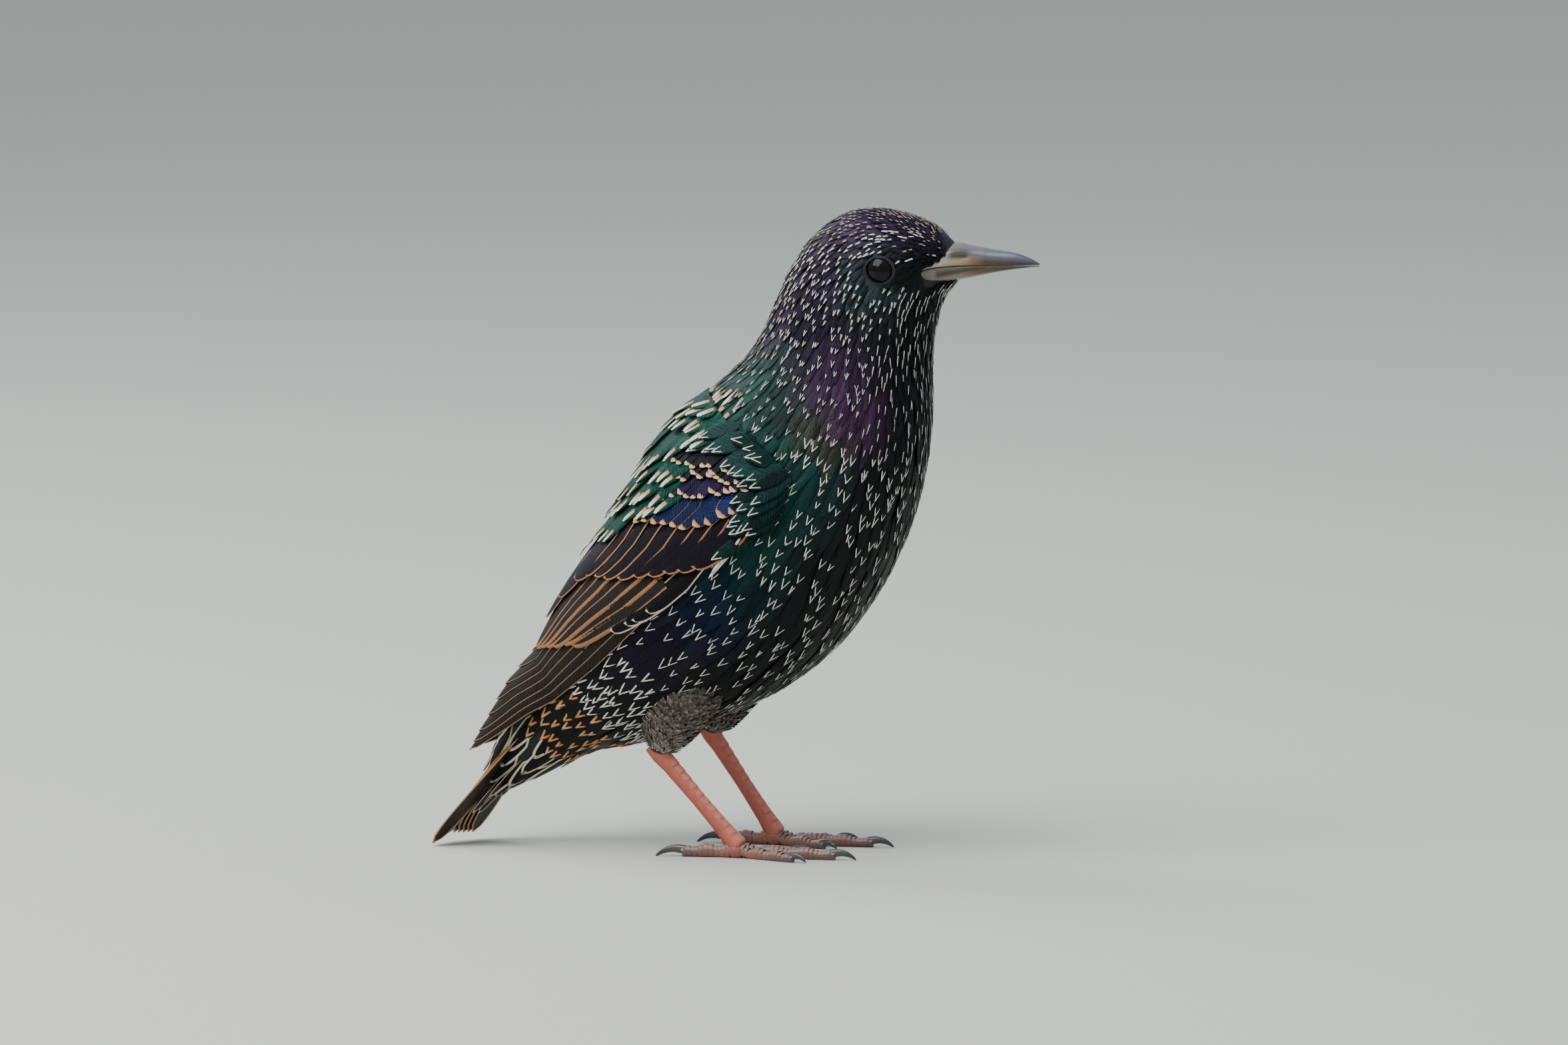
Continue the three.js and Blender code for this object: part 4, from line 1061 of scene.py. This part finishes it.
class Row:
    """Copies of one small piece set along paths, facing outward."""

    INPUTS = (("Path", "Geometry"), ("Piece", "Object"), ("Spacing", "Float"), ("Finish", "Material"))

    def __init__(self) -> None:
        """Builds the node group with its named inputs."""
        self.tree = bpy.data.node_groups.new("pieces_along_path", "GeometryNodeTree")
        for name, kind in self.INPUTS:
            self.tree.interface.new_socket(name, in_out="INPUT", socket_type=f"NodeSocket{kind}")
        self.tree.interface.new_socket("Pieces", in_out="OUTPUT", socket_type="NodeSocketGeometry")
        given = self._add("NodeGroupInput", {}, {}).outputs
        curve = self._add("GeometryNodeMeshToCurve", {}, {"Mesh": given["Path"]}).outputs["Curve"]
        spots = self._add("GeometryNodeCurveToPoints", {"mode": "LENGTH"},
                          {"Curve": curve, "Length": given["Spacing"]}).outputs
        facing, size = (self._add("GeometryNodeInputNamedAttribute", {"data_type": "FLOAT_VECTOR"},
                                  {"Name": name}).outputs["Attribute"] for name in ("facing", "size"))
        up = self._add("FunctionNodeAlignRotationToVector", {"axis": "Z"}, {"Vector": facing}).outputs[0]
        turn = self._add("FunctionNodeAlignRotationToVector", {"axis": "X", "pivot_axis": "Z"},
                         {"Rotation": up, "Vector": spots["Tangent"]}).outputs[0]
        piece = self._add("GeometryNodeObjectInfo", {}, {"Object": given["Piece"]}).outputs["Geometry"]
        placed = self._add("GeometryNodeInstanceOnPoints", {}, {
            "Points": spots["Points"], "Instance": piece, "Rotation": turn, "Scale": size}).outputs[0]
        real = self._add("GeometryNodeRealizeInstances", {}, {"Geometry": placed}).outputs[0]
        done = self._add("GeometryNodeSetMaterial", {}, {"Geometry": real, "Material": given["Finish"]}).outputs[0]
        self._add("NodeGroupOutput", {}, {"Pieces": done})

    def _add(self, kind: str, settings: dict, inputs: dict) -> bpy.types.Node:
        """Adds a node with its settings and links."""
        node = self.tree.nodes.new(kind)
        for key, value in settings.items():
            setattr(node, key, value)
        for key, value in inputs.items():
            if isinstance(value, str):
                node.inputs[key].default_value = value
            else:
                self.tree.links.new(value, node.inputs[key])
        return node

    def lay(self, name: str, paths: list, piece: GridMesh, spacing: float,
            finish: bpy.types.Material) -> bpy.types.Object:
        """Sets pieces along paths.

        Args:
            name: The new object's name.
            paths: For each path its points, facings, sizes and whether it is closed.
            piece: The piece, along X and facing Z, at a size of one millimetre.
            spacing: Distance from piece to piece.
            finish: Their material.

        Returns:
            One plain mesh object.
        """
        mesh = bpy.data.meshes.new(f"{name}_path")
        edges, base = [], 0
        for points, _, _, closed in paths:
            n = len(points)
            edges += [(base + i, base + (i + 1) % n) for i in range(n if closed else n - 1)]
            base += n
        mesh.from_pydata(np.concatenate([path[0] for path in paths]) * MM, edges, [])
        for k, key in ((1, "facing"), (2, "size")):
            values = np.concatenate([path[k] for path in paths]).astype(np.float32)
            mesh.attributes.new(key, "FLOAT_VECTOR", "POINT").data.foreach_set("vector", values.ravel())
        carrier = bpy.data.objects.new(f"{name}_carrier", mesh)
        bpy.context.collection.objects.link(carrier)
        single = piece.build(f"{name}_single", finish)
        modifier = carrier.modifiers.new("row", "NODES")
        modifier.node_group = self.tree
        values = {"Piece": single, "Spacing": spacing * MM, "Finish": finish}
        for item in self.tree.interface.items_tree:
            if item.name in values:
                modifier[item.identifier] = values[item.name]
        carrier.update_tag()
        graph = bpy.context.evaluated_depsgraph_get()
        made = bpy.data.meshes.new_from_object(carrier.evaluated_get(graph))
        for spare in (carrier, single):
            bpy.data.objects.remove(spare)
        made.materials.clear()
        made.materials.append(finish)
        obj = bpy.data.objects.new(name, made)
        bpy.context.collection.objects.link(obj)
        return obj


def scute(color: Color) -> GridMesh:
    """A scale wrapped half way round a limb of radius one, raised at its far edge."""
    a, x = np.meshgrid(np.linspace(-1.25, 1.25, 13), np.linspace(-0.5, 0.62, 7), indexing="xy")
    edge = 1 - (a / 1.25) ** 4
    bulge = 1.0 + edge * np.interp(x, (-0.5, 0.3, 0.52, 0.62), (0.015, 0.085, 0.085, 0.0)) - 0.03 * (1 - edge)
    points = np.stack([x - 0.1 * (a / 1.25) ** 2, np.sin(a) * bulge, np.cos(a) * bulge], -1)
    shade = np.interp(x, (-0.5, -0.3, 0.35, 0.62), (0.6, 1.0, 1.08, 0.5))[..., None]
    grid = GridMesh()
    grid.add(points, np.array([0, 0, 1.0]), paint=painted(np.array(color) * shade))
    return grid


def bead(color: Color) -> GridMesh:
    """A small dome."""
    lat, lon = np.meshgrid(np.linspace(0.02, math.pi / 2, 5), np.linspace(0, 2 * math.pi, 10, endpoint=False),
                           indexing="ij")
    points = np.stack([np.sin(lat) * np.cos(lon), np.sin(lat) * np.sin(lon), np.cos(lat)], -1) * 0.5
    grid = GridMesh()
    grid.add(points, np.array([1.0, 0, 1.0]), wrap=True, paint=painted(np.broadcast_to(np.array(color), points.shape)))
    return grid


# Bill, eyes and legs


def tube(grid: GridMesh, rings: Array, paint: Array) -> None:
    """Adds a closed form through rings of points, each closed by its middle at the ends."""
    first, last = (np.repeat(rings[i].mean(0)[None, None], rings.shape[1], 1) for i in (0, -1))
    full = np.concatenate([first, rings, last])
    tone = np.concatenate([paint[:1], paint, paint[-1:]])
    i = len(full) // 2 - 1
    grid.add(full, full[i, 0] - full[i].mean(0), wrap=True, paint=tone)


def painted(color: Array) -> Array:
    """Colours with a fourth number of one."""
    return np.concatenate([color, np.ones((*color.shape[:-1], 1))], -1)


def blend(stops: tuple, values: Array) -> Array:
    """Colours at values, through stops of (value, colour)."""
    keys = [s[0] for s in stops]
    return np.stack([np.interp(values, keys, [s[1][k] for s in stops]) for k in range(3)], -1)


@dataclass
class Bill:
    """The upper and lower halves of the bill, from stations along it."""

    stations: tuple = (
        (49, 150.9, 150.1, 147.6, 9.7), (50.4, 152.0, 150.4, 146.2, 9.5), (52, 153.4, 150.8, 145.8, 8.8),
        (54, 155, 151.1, 146.2, 7.6), (56, 156.5, 151.2, 146.8, 6.4), (58.2, 156.9, 151.3, 147.4, 5.1),
        (60.6, 156.4, 151.3, 147.95, 4.2), (63.4, 155.9, 151.3, 148.6, 3.4), (66.8, 155.3, 151.3, 149.35, 2.65),
        (72, 154.6, 151.3, 150.3, 1.8), (75.8, 153.4, 151.4, 150.85, 1.05), (78.6, 151.95, 151.5, 151.2, 0.36),
    )
    around: int = 48
    rows: int = 90
    nostril: tuple = (58.6, 154.2)
    gap: float = 0.12

    def half(self, upper: bool) -> tuple[Array, Array]:
        """Rings and colours of one half."""
        keys = np.array(self.stations, float)
        t = np.linspace(0, len(keys) - 1, self.rows)
        x, ridge, mouth, keel, wide = catmull(keys, t).T
        turn = np.linspace(0, 1, self.around // 2 + 1)
        arch = np.concatenate([turn * math.pi, math.pi * (1 - turn[1:-1])])
        flat = np.arange(len(arch)) > self.around // 2
        edge = mouth + (self.gap if upper else -self.gap)
        far = ridge if upper else keel
        y = wide[:, None] * np.cos(arch) * (1 if upper else 0.97)
        height = (far - edge)[:, None] * np.sin(arch) ** 0.85
        z = edge[:, None] + np.where(flat, 0, height)
        rings = np.stack([np.broadcast_to(x[:, None], y.shape), y, z], -1)
        along = np.broadcast_to(x[:, None], y.shape)
        up = np.where(flat, 0, np.sin(arch))[None] * np.ones_like(y)
        if upper:
            off, rise = along - self.nostril[0], z - self.nostril[1]
            pit = np.exp(-((off / 2.2) ** 4 + ((rise + 0.55) / 0.55) ** 2))
            lid = np.exp(-((off / 2.3) ** 4 + ((rise - 0.5) / 0.95) ** 4))
            rings[..., 1] -= np.sign(y) * (0.9 * pit - 0.35 * lid)
            color = blend(((50, srgb(84, 76, 72)), (56, srgb(108, 100, 98)), (60, srgb(106, 104, 108)),
                           (67, srgb(88, 94, 108)), (73, srgb(76, 82, 98)), (78, srgb(66, 68, 78))), along)
            low = blend(((50, srgb(100, 90, 82)), (54, srgb(166, 157, 140)), (59, srgb(150, 130, 98)),
                         (62, srgb(118, 84, 52)), (65, srgb(66, 44, 30)), (78, srgb(42, 34, 32))), along)
            color = low + (color - low) * np.clip(up * 2.2 - 0.3, 0, 1)[..., None]
            # Painted shade: a darker band along the side of the upper half, for a groove that the surface does not
            # have.
            fold = np.exp(-((up - 0.52) / 0.07) ** 2) * np.clip((along - 57) / 3, 0, 1) * np.clip((76 - along) / 6, 0, 1)
            color = color * (1 - 0.3 * fold[..., None])
            # Painted shade: the nostril pit is darkened to about a sixth of the horn's colour, and the lid above it is
            # darkened as well.
            color = color * (1 - 0.85 * pit[..., None]) * (1 - 0.45 * lid[..., None] * (1 - pit[..., None]))
        else:
            color = blend(((50, srgb(80, 72, 70)), (53, srgb(112, 102, 96)), (59, srgb(122, 110, 92)),
                           (63, srgb(98, 66, 38)), (69, srgb(62, 40, 26)), (75, srgb(42, 32, 28)), (78, srgb(36, 32, 32))), along)
            # Painted shade: a dark brown wedge on the lower half's side near its base, narrowing forward, standing in
            # for the shaded gap of the mouth.
            middle, thick = (np.interp(along, (53.5, 60.4, 66), v) for v in ((149.2, 150.3, 150.8), (1.0, 0.6, 0.3)))
            wedge = np.exp(-(((z - middle) / thick) ** 4)) * np.clip((along - 52.8) / 0.9, 0, 1) * np.clip((68 - along) / 5, 0, 1)
            color = color + (np.array(srgb(38, 26, 24)) - color) * (0.9 * wedge[..., None])
        return rings, painted(color)

    def build(self) -> list[bpy.types.Object]:
        """Both halves."""
        horn = PaintFinish("bill_horn", 0.34, grain=700, vary=0.12, subsurface=0.03, coat=0.25).make()
        made = []
        for name, upper in (("bill_top", True), ("bill_bottom", False)):
            grid = GridMesh()
            tube(grid, *self.half(upper))
            made.append(grid.build(name, horn))
        return made


@dataclass
class Eye:
    """A wet dark eye in a ring of small beads."""

    side: int
    centre: Vector
    radius: float
    seen: float = 3.25
    out: float = 12.1

    def ball(self) -> bpy.types.Object:
        """The eyeball, brown round a black pupil."""
        lat, lon = np.meshgrid(np.linspace(0.01, math.pi - 0.01, 40), np.linspace(0, 2 * math.pi, 64, endpoint=False),
                               indexing="ij")
        y = self.side * np.cos(lat)
        ring = np.stack([np.sin(lat) * np.cos(lon), y, np.sin(lat) * np.sin(lon)], -1)
        tone = blend(((0, srgb(3, 3, 4)), (0.42, srgb(3, 3, 4)), (0.5, srgb(11, 8, 7)), (0.75, srgb(9, 7, 7)),
                      (0.9, srgb(6, 6, 7)), (3.2, srgb(6, 6, 7))), lat)
        grid = GridMesh()
        tube(grid, ring * self.radius + np.array(self.centre), painted(tone))
        wet = PaintFinish(f"eye_wet_{self.word}", 0.08, vary=0.02, relief_M=0.0, specular=0.22)
        return grid.build(f"eyeball_{self.word}", wet.make())

    @property
    def word(self) -> str:
        """The side's name."""
        return "right" if self.side < 0 else "left"

    def ring(self) -> bpy.types.Object:
        """The bare skin from the lid's rim out under the feathers."""
        turn = np.linspace(0, 2 * math.pi, 72, endpoint=False)
        radii = np.array([3.25, 3.33, 3.5, 3.75, 4.15, 4.9])
        depth = np.array([-0.45, 0.0, 0.12, 0.0, -0.6, -1.9])
        x = self.centre[0] + radii[:, None] * np.cos(turn) * 1.05
        z = self.centre[2] + radii[:, None] * np.sin(turn) * 0.95
        y = np.broadcast_to((self.side * (self.out + depth))[:, None], x.shape)
        grid = GridMesh()
        out = np.array([0.0, self.side, 0.0])
        grid.add(np.stack([x, y, z], -1), out, wrap=True, paint=painted(np.broadcast_to(srgb(9, 9, 11), (*x.shape, 3))))
        return grid.build(f"lid_{self.word}", PaintFinish(f"lid_skin_{self.word}", 0.55).make())

    def beads(self, row: Row) -> bpy.types.Object:
        """Two rows of beads along the lids."""
        turn = np.linspace(0, 2 * math.pi, 90, endpoint=False)
        paths = []
        for radius, size, depth in ((3.42, 0.38, 0.06), (3.84, 0.42, -0.1)):
            points = np.stack([self.centre[0] + radius * np.cos(turn) * 1.05,
                               np.full(90, self.side * (self.out + depth)),
                               self.centre[2] + radius * np.sin(turn) * 0.95], -1)
            facing = np.broadcast_to([0.0, self.side, 0.0], points.shape)
            paths.append((points, facing, np.full(points.shape, size), True))
        finish = PaintFinish(f"lid_beads_{self.word}", 0.45).make()
        return row.lay(f"lid_beads_{self.word}", paths, bead(srgb(24, 24, 28)), 0.46, finish)


THIGH_STATIONS = ((0, 11, 9), (0.35, 10, 7.6), (0.7, 6.8, 5.6), (0.92, 4.3, 3.9), (1, 3.2, 3))
TARSUS = ((-0.2, 2.2, 1.7), (0, 2.5, 1.9), (0.12, 2.1, 1.5), (0.5, 1.85, 1.3), (0.84, 2.1, 1.5), (0.95, 2.5, 2.3),
          (1, 2.2, 2.5))


@dataclass
class Toe:
    """One toe's direction, length, joints, half height and claw length."""

    name: str
    way: float
    length: float
    joints: int
    thick: float
    claw: float


TOES = (
    Toe("hind", 178, 12.5, 2, 1.75, 8.5), Toe("inner", -24, 14.5, 2, 1.45, 5.6),
    Toe("middle", 2, 24, 3, 1.6, 7), Toe("outer", 27, 16.5, 3, 1.4, 5.6),
)


@dataclass
class Leg:
    """A feathered thigh, a scaled shank and four toes with claws."""

    name: str
    side: int
    top: tuple
    knee: tuple
    hock: tuple
    ankle: tuple
    turn: float
    red: Color = srgb(168, 74, 58)
    pink: Color = srgb(196, 112, 96)
    toe_root: float = 1.6

    def thigh(self, rng: np.random.Generator) -> bpy.types.Object:
        """Short downy feathers round the thigh."""
        form = LimbForm(self.top, self.knee, THIGH_STATIONS)
        n = 1500
        t, a = rng.random(n) ** 0.8 * 0.86 + 0.1, rng.random(n) * 2 * math.pi
        length, width = 3.4 + 2.6 * t, 0.7 + 0.9 * t
        made = lay(form, t, a, length, width, 6, 3, (-0.8, 0.7), rng.normal(0, 0.5, n), 0.14, rng)
        tone = np.array(srgb(112, 104, 98)) * (0.5 + 0.7 * (1 - t[:, None])) * rng.normal(1, 0.35, (n, 1))
        ground = np.concatenate([np.clip(tone, 0.002, 1), np.zeros((n, 1))], -1).reshape(n, 1, 1, 4)
        marks = np.tile(np.array(Mark.FLECK.value), (n, 1)) * (rng.random((n, 1)) < 0.62 - 0.4 * t[:, None])
        home = np.stack([0.5 + (a - math.pi) / (2 * math.pi) * 0.96, 0.02 + t * 0.96], -1)
        spread = np.stack(np.meshgrid(np.linspace(-1, 1, 3), np.linspace(1, -1, 6)), -1) * 0.0015
        rim = np.zeros((n, 6, 3, 3))
        rim[..., 0] = 1
        grid = GridMesh()
        grid.add(made["points"], made["out"], uv=home[:, None, None] + spread, blade=made["blade"], ground=ground,
                 pale=np.array([*CREAM, 0.5]), marks=marks.reshape(n, 1, 1, 3), rim=rim)
        down = FeatherFinish(f"thigh_down_{self.name}", 2.4, 0.4, rough=0.7, ragged=0.3).make()
        return grid.build(f"coat_thigh_{self.name}", down)

    def thigh_skin(self) -> bpy.types.Object:
        """The dark skin of the thigh under its feathers."""
        thin = tuple((s, d - 0.8, w - 0.8) for s, d, w in THIGH_STATIONS)
        form = LimbForm(self.top, self.knee, thin)
        t, a = np.meshgrid(np.linspace(0, 1, 24), np.linspace(0, 2 * math.pi, 32, endpoint=False), indexing="ij")
        grid = GridMesh()
        tube(grid, form.point(t, a), painted(np.broadcast_to(srgb(40, 36, 36), (*t.shape, 3))))
        return grid.build(f"thigh_skin_{self.name}", PaintFinish(f"thigh_dark_{self.name}", 0.8).make())

    def shank(self, grid: GridMesh) -> None:
        """The tarsus, redder behind and pinker in front, and the ball of the foot."""
        form = LimbForm(self.hock, self.ankle, TARSUS)
        t, a = np.meshgrid(np.linspace(-0.02, 1.12, 60), np.linspace(0, 2 * math.pi, 32, endpoint=False), indexing="ij")
        front = np.clip(0.5 + 0.5 * np.cos(a), 0, 1)
        tone = np.array(self.red) + (np.array(self.pink) - np.array(self.red)) * front[..., None]
        points = form.point(t, a)
        step = np.cos((t - 0.02) * 2 * math.pi * 9)
        points += unit(points - points.mean(1, keepdims=True)) * (0.07 * step * front)[..., None]
        points[..., 2] = np.maximum(points[..., 2], 0.02)
        tube(grid, points, painted(tone * (0.93 + 0.07 * step * front)[..., None]))
        lat, lon = np.meshgrid(np.linspace(0.05, math.pi - 0.05, 18), np.linspace(0, 2 * math.pi, 28, endpoint=False),
                               indexing="ij")
        ball = np.stack([np.sin(lat) * np.cos(lon) * 2.7, np.sin(lat) * np.sin(lon) * 2.7, np.cos(lat) * 2.3], -1)
        ball += np.array([self.ankle[0], self.ankle[1], 2.07])
        ball[..., 2] = np.maximum(ball[..., 2], 0.02)
        tube(grid, ball, painted(np.broadcast_to(srgb(150, 92, 84), (*lat.shape, 3))))

    def frame(self, toe: Toe, along: Array, aside: Array, up: Array) -> Array:
        """Points in a toe's own frame."""
        turn = math.radians(self.side * toe.way + self.turn)
        c, s = math.cos(turn), math.sin(turn)
        return np.stack([self.ankle[0] + c * along - s * aside, self.ankle[1] + s * along + c * aside, up], -1)

    @staticmethod
    def toe_shape(toe: Toe, s: Array) -> tuple[Array, Array]:
        """A toe's half height and the height of its middle along it."""
        swell = 0.13 * np.cos(2 * math.pi * s * toe.joints)
        tip = np.sqrt(np.maximum(0.12, 1 - np.maximum(0, (s - 0.9) / 0.1) ** 2 * 0.75))
        r = toe.thick * (1 - 0.22 * s) * (1 + swell) * tip
        return r, np.maximum(r * 0.9, 2.1 * (1 - s * 3)) + toe.joints * 0.028 * np.sin(math.pi * s)

    def toe(self, grid: GridMesh, toe: Toe) -> None:
        """One toe with a pad under each joint and scales across its top."""
        s, j = np.meshgrid(np.linspace(0, 1, 18 * toe.joints), np.linspace(0, 2 * math.pi, 24, endpoint=False),
                           indexing="ij")
        r, rise = self.toe_shape(toe, s)
        scale = np.abs(np.sin(s * toe.length * 2.2)) ** 0.5
        up = np.maximum(0.02, rise + r * np.sin(j))
        points = self.frame(toe, self.toe_root + s * toe.length, r * np.cos(j) * 0.95, up)
        base = blend(((0, srgb(168, 98, 86)), (0.5, srgb(140, 92, 86)), (1, srgb(104, 80, 80))), s)
        tube(grid, points, painted(base * (0.6 + 0.3 * scale)[..., None]))

    def claw(self, grid: GridMesh, toe: Toe) -> None:
        """One curved claw."""
        s, j = np.meshgrid(np.linspace(0, 1, 20), np.linspace(0, 2 * math.pi, 16, endpoint=False), indexing="ij")
        along = self.toe_root + toe.length - 1.6 + toe.claw * (s * 1.16 - 0.16 * s * s)
        up = 1.35 + toe.claw * 0.42 * s - toe.claw * 0.585 * s * s
        r = toe.thick * 0.62 * (1 - s) ** 0.8 + 0.12
        high = r * 1.15 * np.sin(j)
        points = self.frame(toe, along + high * 0.6 * s, r * 0.8 * np.cos(j), np.maximum(0.02, up + high))
        tube(grid, points, painted(blend(((0, srgb(84, 78, 80)), (1, srgb(40, 38, 44))), s)))

    def scutes(self, row: Row, scaled: bpy.types.Material) -> list[bpy.types.Object]:
        """Scales down the front of the shank and over the top of each toe."""
        s = np.linspace(0.1, 0.96, 30)
        spine = np.array(self.hock) + (np.array(self.ankle) - np.array(self.hock)) * s[:, None]
        form = LimbForm(self.hock, self.ankle, TARSUS)
        depth, width = (np.interp(s, form.stations[:, 0], form.stations[:, k]) for k in (1, 2))
        facing = np.broadcast_to(-form.deep, spine.shape)
        size = np.stack([np.full(30, 2.7), width * 1.0, depth * 1.0], -1)
        shank = row.lay(f"scutes_shank_{self.name}", [(spine, facing, size, False)], scute(self.pink), 2.5, scaled)
        paths = []
        for toe in TOES:
            s = np.linspace(0.04, 0.97, 40)
            r, rise = self.toe_shape(toe, s)
            spine = self.frame(toe, self.toe_root + s * toe.length, 0 * s, rise)
            size = np.stack([np.full(40, 1.25), r * 0.97, r * 1.02], -1)
            paths.append((spine, np.broadcast_to([0.0, 0.0, 1.0], spine.shape), size, False))
        toes = row.lay(f"scutes_toes_{self.name}", paths, scute(srgb(140, 112, 106)), 1.12, scaled)
        return [shank, toes]

    def build(self, scaled: bpy.types.Material, horn: bpy.types.Material) -> dict[str, bpy.types.Object]:
        """The shank with its toes, and the claws."""
        skin, claws = GridMesh(), GridMesh()
        self.shank(skin)
        for toe in TOES:
            self.toe(skin, toe)
            self.claw(claws, toe)
        return {"skin": skin.build(f"shank_{self.name}", scaled), "claws": claws.build(f"claws_{self.name}", horn)}


LEGS = (
    Leg("right", RIGHT, (-9, -13, 48), (-17.5, -14, 26.5), (-16.6, -14, 25.6), (3.2, -14.3, 3.1), 2),
    Leg("left", LEFT, (-3, 13, 50), (-10.5, 13.5, 29), (-9.8, 13.5, 28), (6.6, 14.3, 3.1), -2),
)


# The photograph's view, light and ground


@dataclass
class Studio:
    """Camera, soft daylight and a plain pale floor."""

    azimuth: float = 13
    elevation: float = 6
    distance_M: float = 5.0
    lens: float = 450
    aim: tuple = (11.82, 83.64)
    floor_M: float = 14.0

    def axes(self) -> tuple[Vector, Vector, Vector]:
        """Right, up and back of the camera."""
        a, e = math.radians(self.azimuth), math.radians(self.elevation)
        right = Vector((math.cos(a), math.sin(a), 0))
        up = Vector((-math.sin(a) * math.sin(e), math.cos(a) * math.sin(e), math.cos(e)))
        back = Vector((math.sin(a) * math.cos(e), -math.cos(a) * math.cos(e), math.sin(e)))
        return right, up, back

    def camera(self) -> None:
        """Sets the camera to the photograph's view."""
        right, up, back = self.axes()
        data = bpy.data.cameras.new("view")
        data.lens, data.sensor_width = self.lens, 36
        data.clip_start, data.clip_end = 0.1, 50
        camera = bpy.data.objects.new("view", data)
        bpy.context.collection.objects.link(camera)
        camera.location = (right * self.aim[0] + up * self.aim[1]) * MM + back * self.distance_M
        camera.rotation_mode = "QUATERNION"
        camera.rotation_quaternion = (-back).to_track_quat("-Z", "Y")
        bpy.context.scene.camera = camera

    def lamp(self, name: str, way: tuple, size_M: float, watts: float, color: Color) -> None:
        """A square lamp a metre and a half away, facing the bird."""
        data = bpy.data.lights.new(name, "AREA")
        data.size, data.energy, data.color = size_M, watts, color
        lamp = bpy.data.objects.new(name, data)
        bpy.context.collection.objects.link(lamp)
        place = Vector(way).normalized() * 1.5
        lamp.location = place + Vector((0, 0, 0.08))
        lamp.rotation_mode = "QUATERNION"
        lamp.rotation_quaternion = place.to_track_quat("Z", "Y")

    def sky(self) -> None:
        """An even, slightly cool sky."""
        world = bpy.data.worlds.new("sky")
        world.use_nodes = True
        node = world.node_tree.nodes["Background"]
        node.inputs["Color"].default_value = (0.72, 0.8, 0.86, 1)
        node.inputs["Strength"].default_value = 0.75
        bpy.context.scene.world = world

    def floor(self) -> None:
        """A pale round floor, wide enough to fill the view."""
        reach, turn = np.meshgrid(np.linspace(0, 1, 13) ** 2 * self.floor_M, np.linspace(0, 2 * math.pi, 64, endpoint=False),
                                  indexing="ij")
        points = np.stack([reach * np.cos(turn), reach * np.sin(turn), 0 * turn], -1)
        grid = GridMesh()
        grid.add(points / MM, np.array([0, 0, 1.0]), wrap=True,
                 paint=painted(np.broadcast_to(srgb(196, 199, 190), points.shape)))
        floor = grid.build("floor", PaintFinish("floor_matt", 0.9, vary=0.03, relief_M=0.0, specular=0.1).make())
        floor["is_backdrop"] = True

    def build(self) -> None:
        """Sets the whole studio."""
        self.camera()
        self.sky()
        self.floor()
        self.lamp("key", (-0.5, -0.75, 1.4), 1.4, 34, (1.0, 0.98, 0.95))
        self.lamp("rim", (-0.9, 0.6, 0.9), 0.8, 10, (0.95, 0.98, 1.0))


def note_size(name: str) -> list[list[float]]:
    """Logs the shown object's box and returns it."""
    low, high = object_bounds()
    log.info("%s box %s to %s", name, tuple(low), tuple(high))
    return [list(low), list(high)]


def show(obj: bpy.types.Object, slot: str, *nodes: str) -> None:
    """Ties a piece to the body and hides the solids that it stands for."""
    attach(obj, "root")
    if nodes:
        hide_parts(*nodes)
    log.info("%s: %d faces", obj.name, len(obj.data.polygons))


def main() -> None:
    """Builds the bird piece by piece, then the studio."""
    logging.basicConfig(level=logging.INFO)
    solid = note_size("solids")
    rng = np.random.default_rng(SEED)
    body = BodyForm()
    wings = {side: WingForm(body, side) for side in (RIGHT, LEFT)}

    coat = BodyCoat(body, wings[RIGHT])
    show(coat.skin(), "plumage", "torso", "neck", "head")
    for piece in coat.build(rng):
        show(piece, "plumage")

    vane_finish = FeatherFinish("wing_sheen", 0.9, 1.0, strands=3.0, rough=0.5, ragged=0.5).make()
    for side, name in ((RIGHT, "right"), (LEFT, "left")):
        made = Wing(wings[side]).build(f"wing_vanes_{name}", vane_finish, np.random.default_rng(SEED + 1))
        show(made, "wing_feather", f"wing_{name}")
    show(Tail(TailForm()).build(vane_finish, rng), "tail_feather", "tail")

    row = Row()
    top, bottom = Bill().build()
    show(top, "bill", "bill_upper")
    show(bottom, "bill", "bill_lower")

    for side, name in ((RIGHT, "right"), (LEFT, "left")):
        low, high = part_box(f"eye_{name}")
        eye = Eye(side, (low + high) / 2 / MM, (high - low).x / 2 / MM)
        show(eye.ball(), "eye", f"eye_{name}")
        show(eye.ring(), "plumage")
        show(eye.beads(row), "plumage")

    scaled = PaintFinish("leg_scales", 0.42, grain=1600, vary=0.16, relief_M=0.00008, subsurface=0.15).make()
    horn = PaintFinish("claw_horn", 0.3, vary=0.1, coat=0.2).make()
    for leg in LEGS:
        made = leg.build(scaled, horn)
        toes = [f"toe_{leg.name}_{toe.name}" for toe in TOES]
        show(made["skin"], "leg_skin", f"tarsus_{leg.name}", *toes)
        show(made["claws"], "claw", *[n.replace("toe", "claw", 1) for n in toes])
        for piece in leg.scutes(row, scaled):
            show(piece, "leg_skin")
        show(leg.thigh_skin(), "plumage", f"thigh_{leg.name}")
        show(leg.thigh(rng), "plumage")

    Studio().build()
    {"solids": solid, "shown": note_size("bird")}


if __name__ == "__main__":
    main()
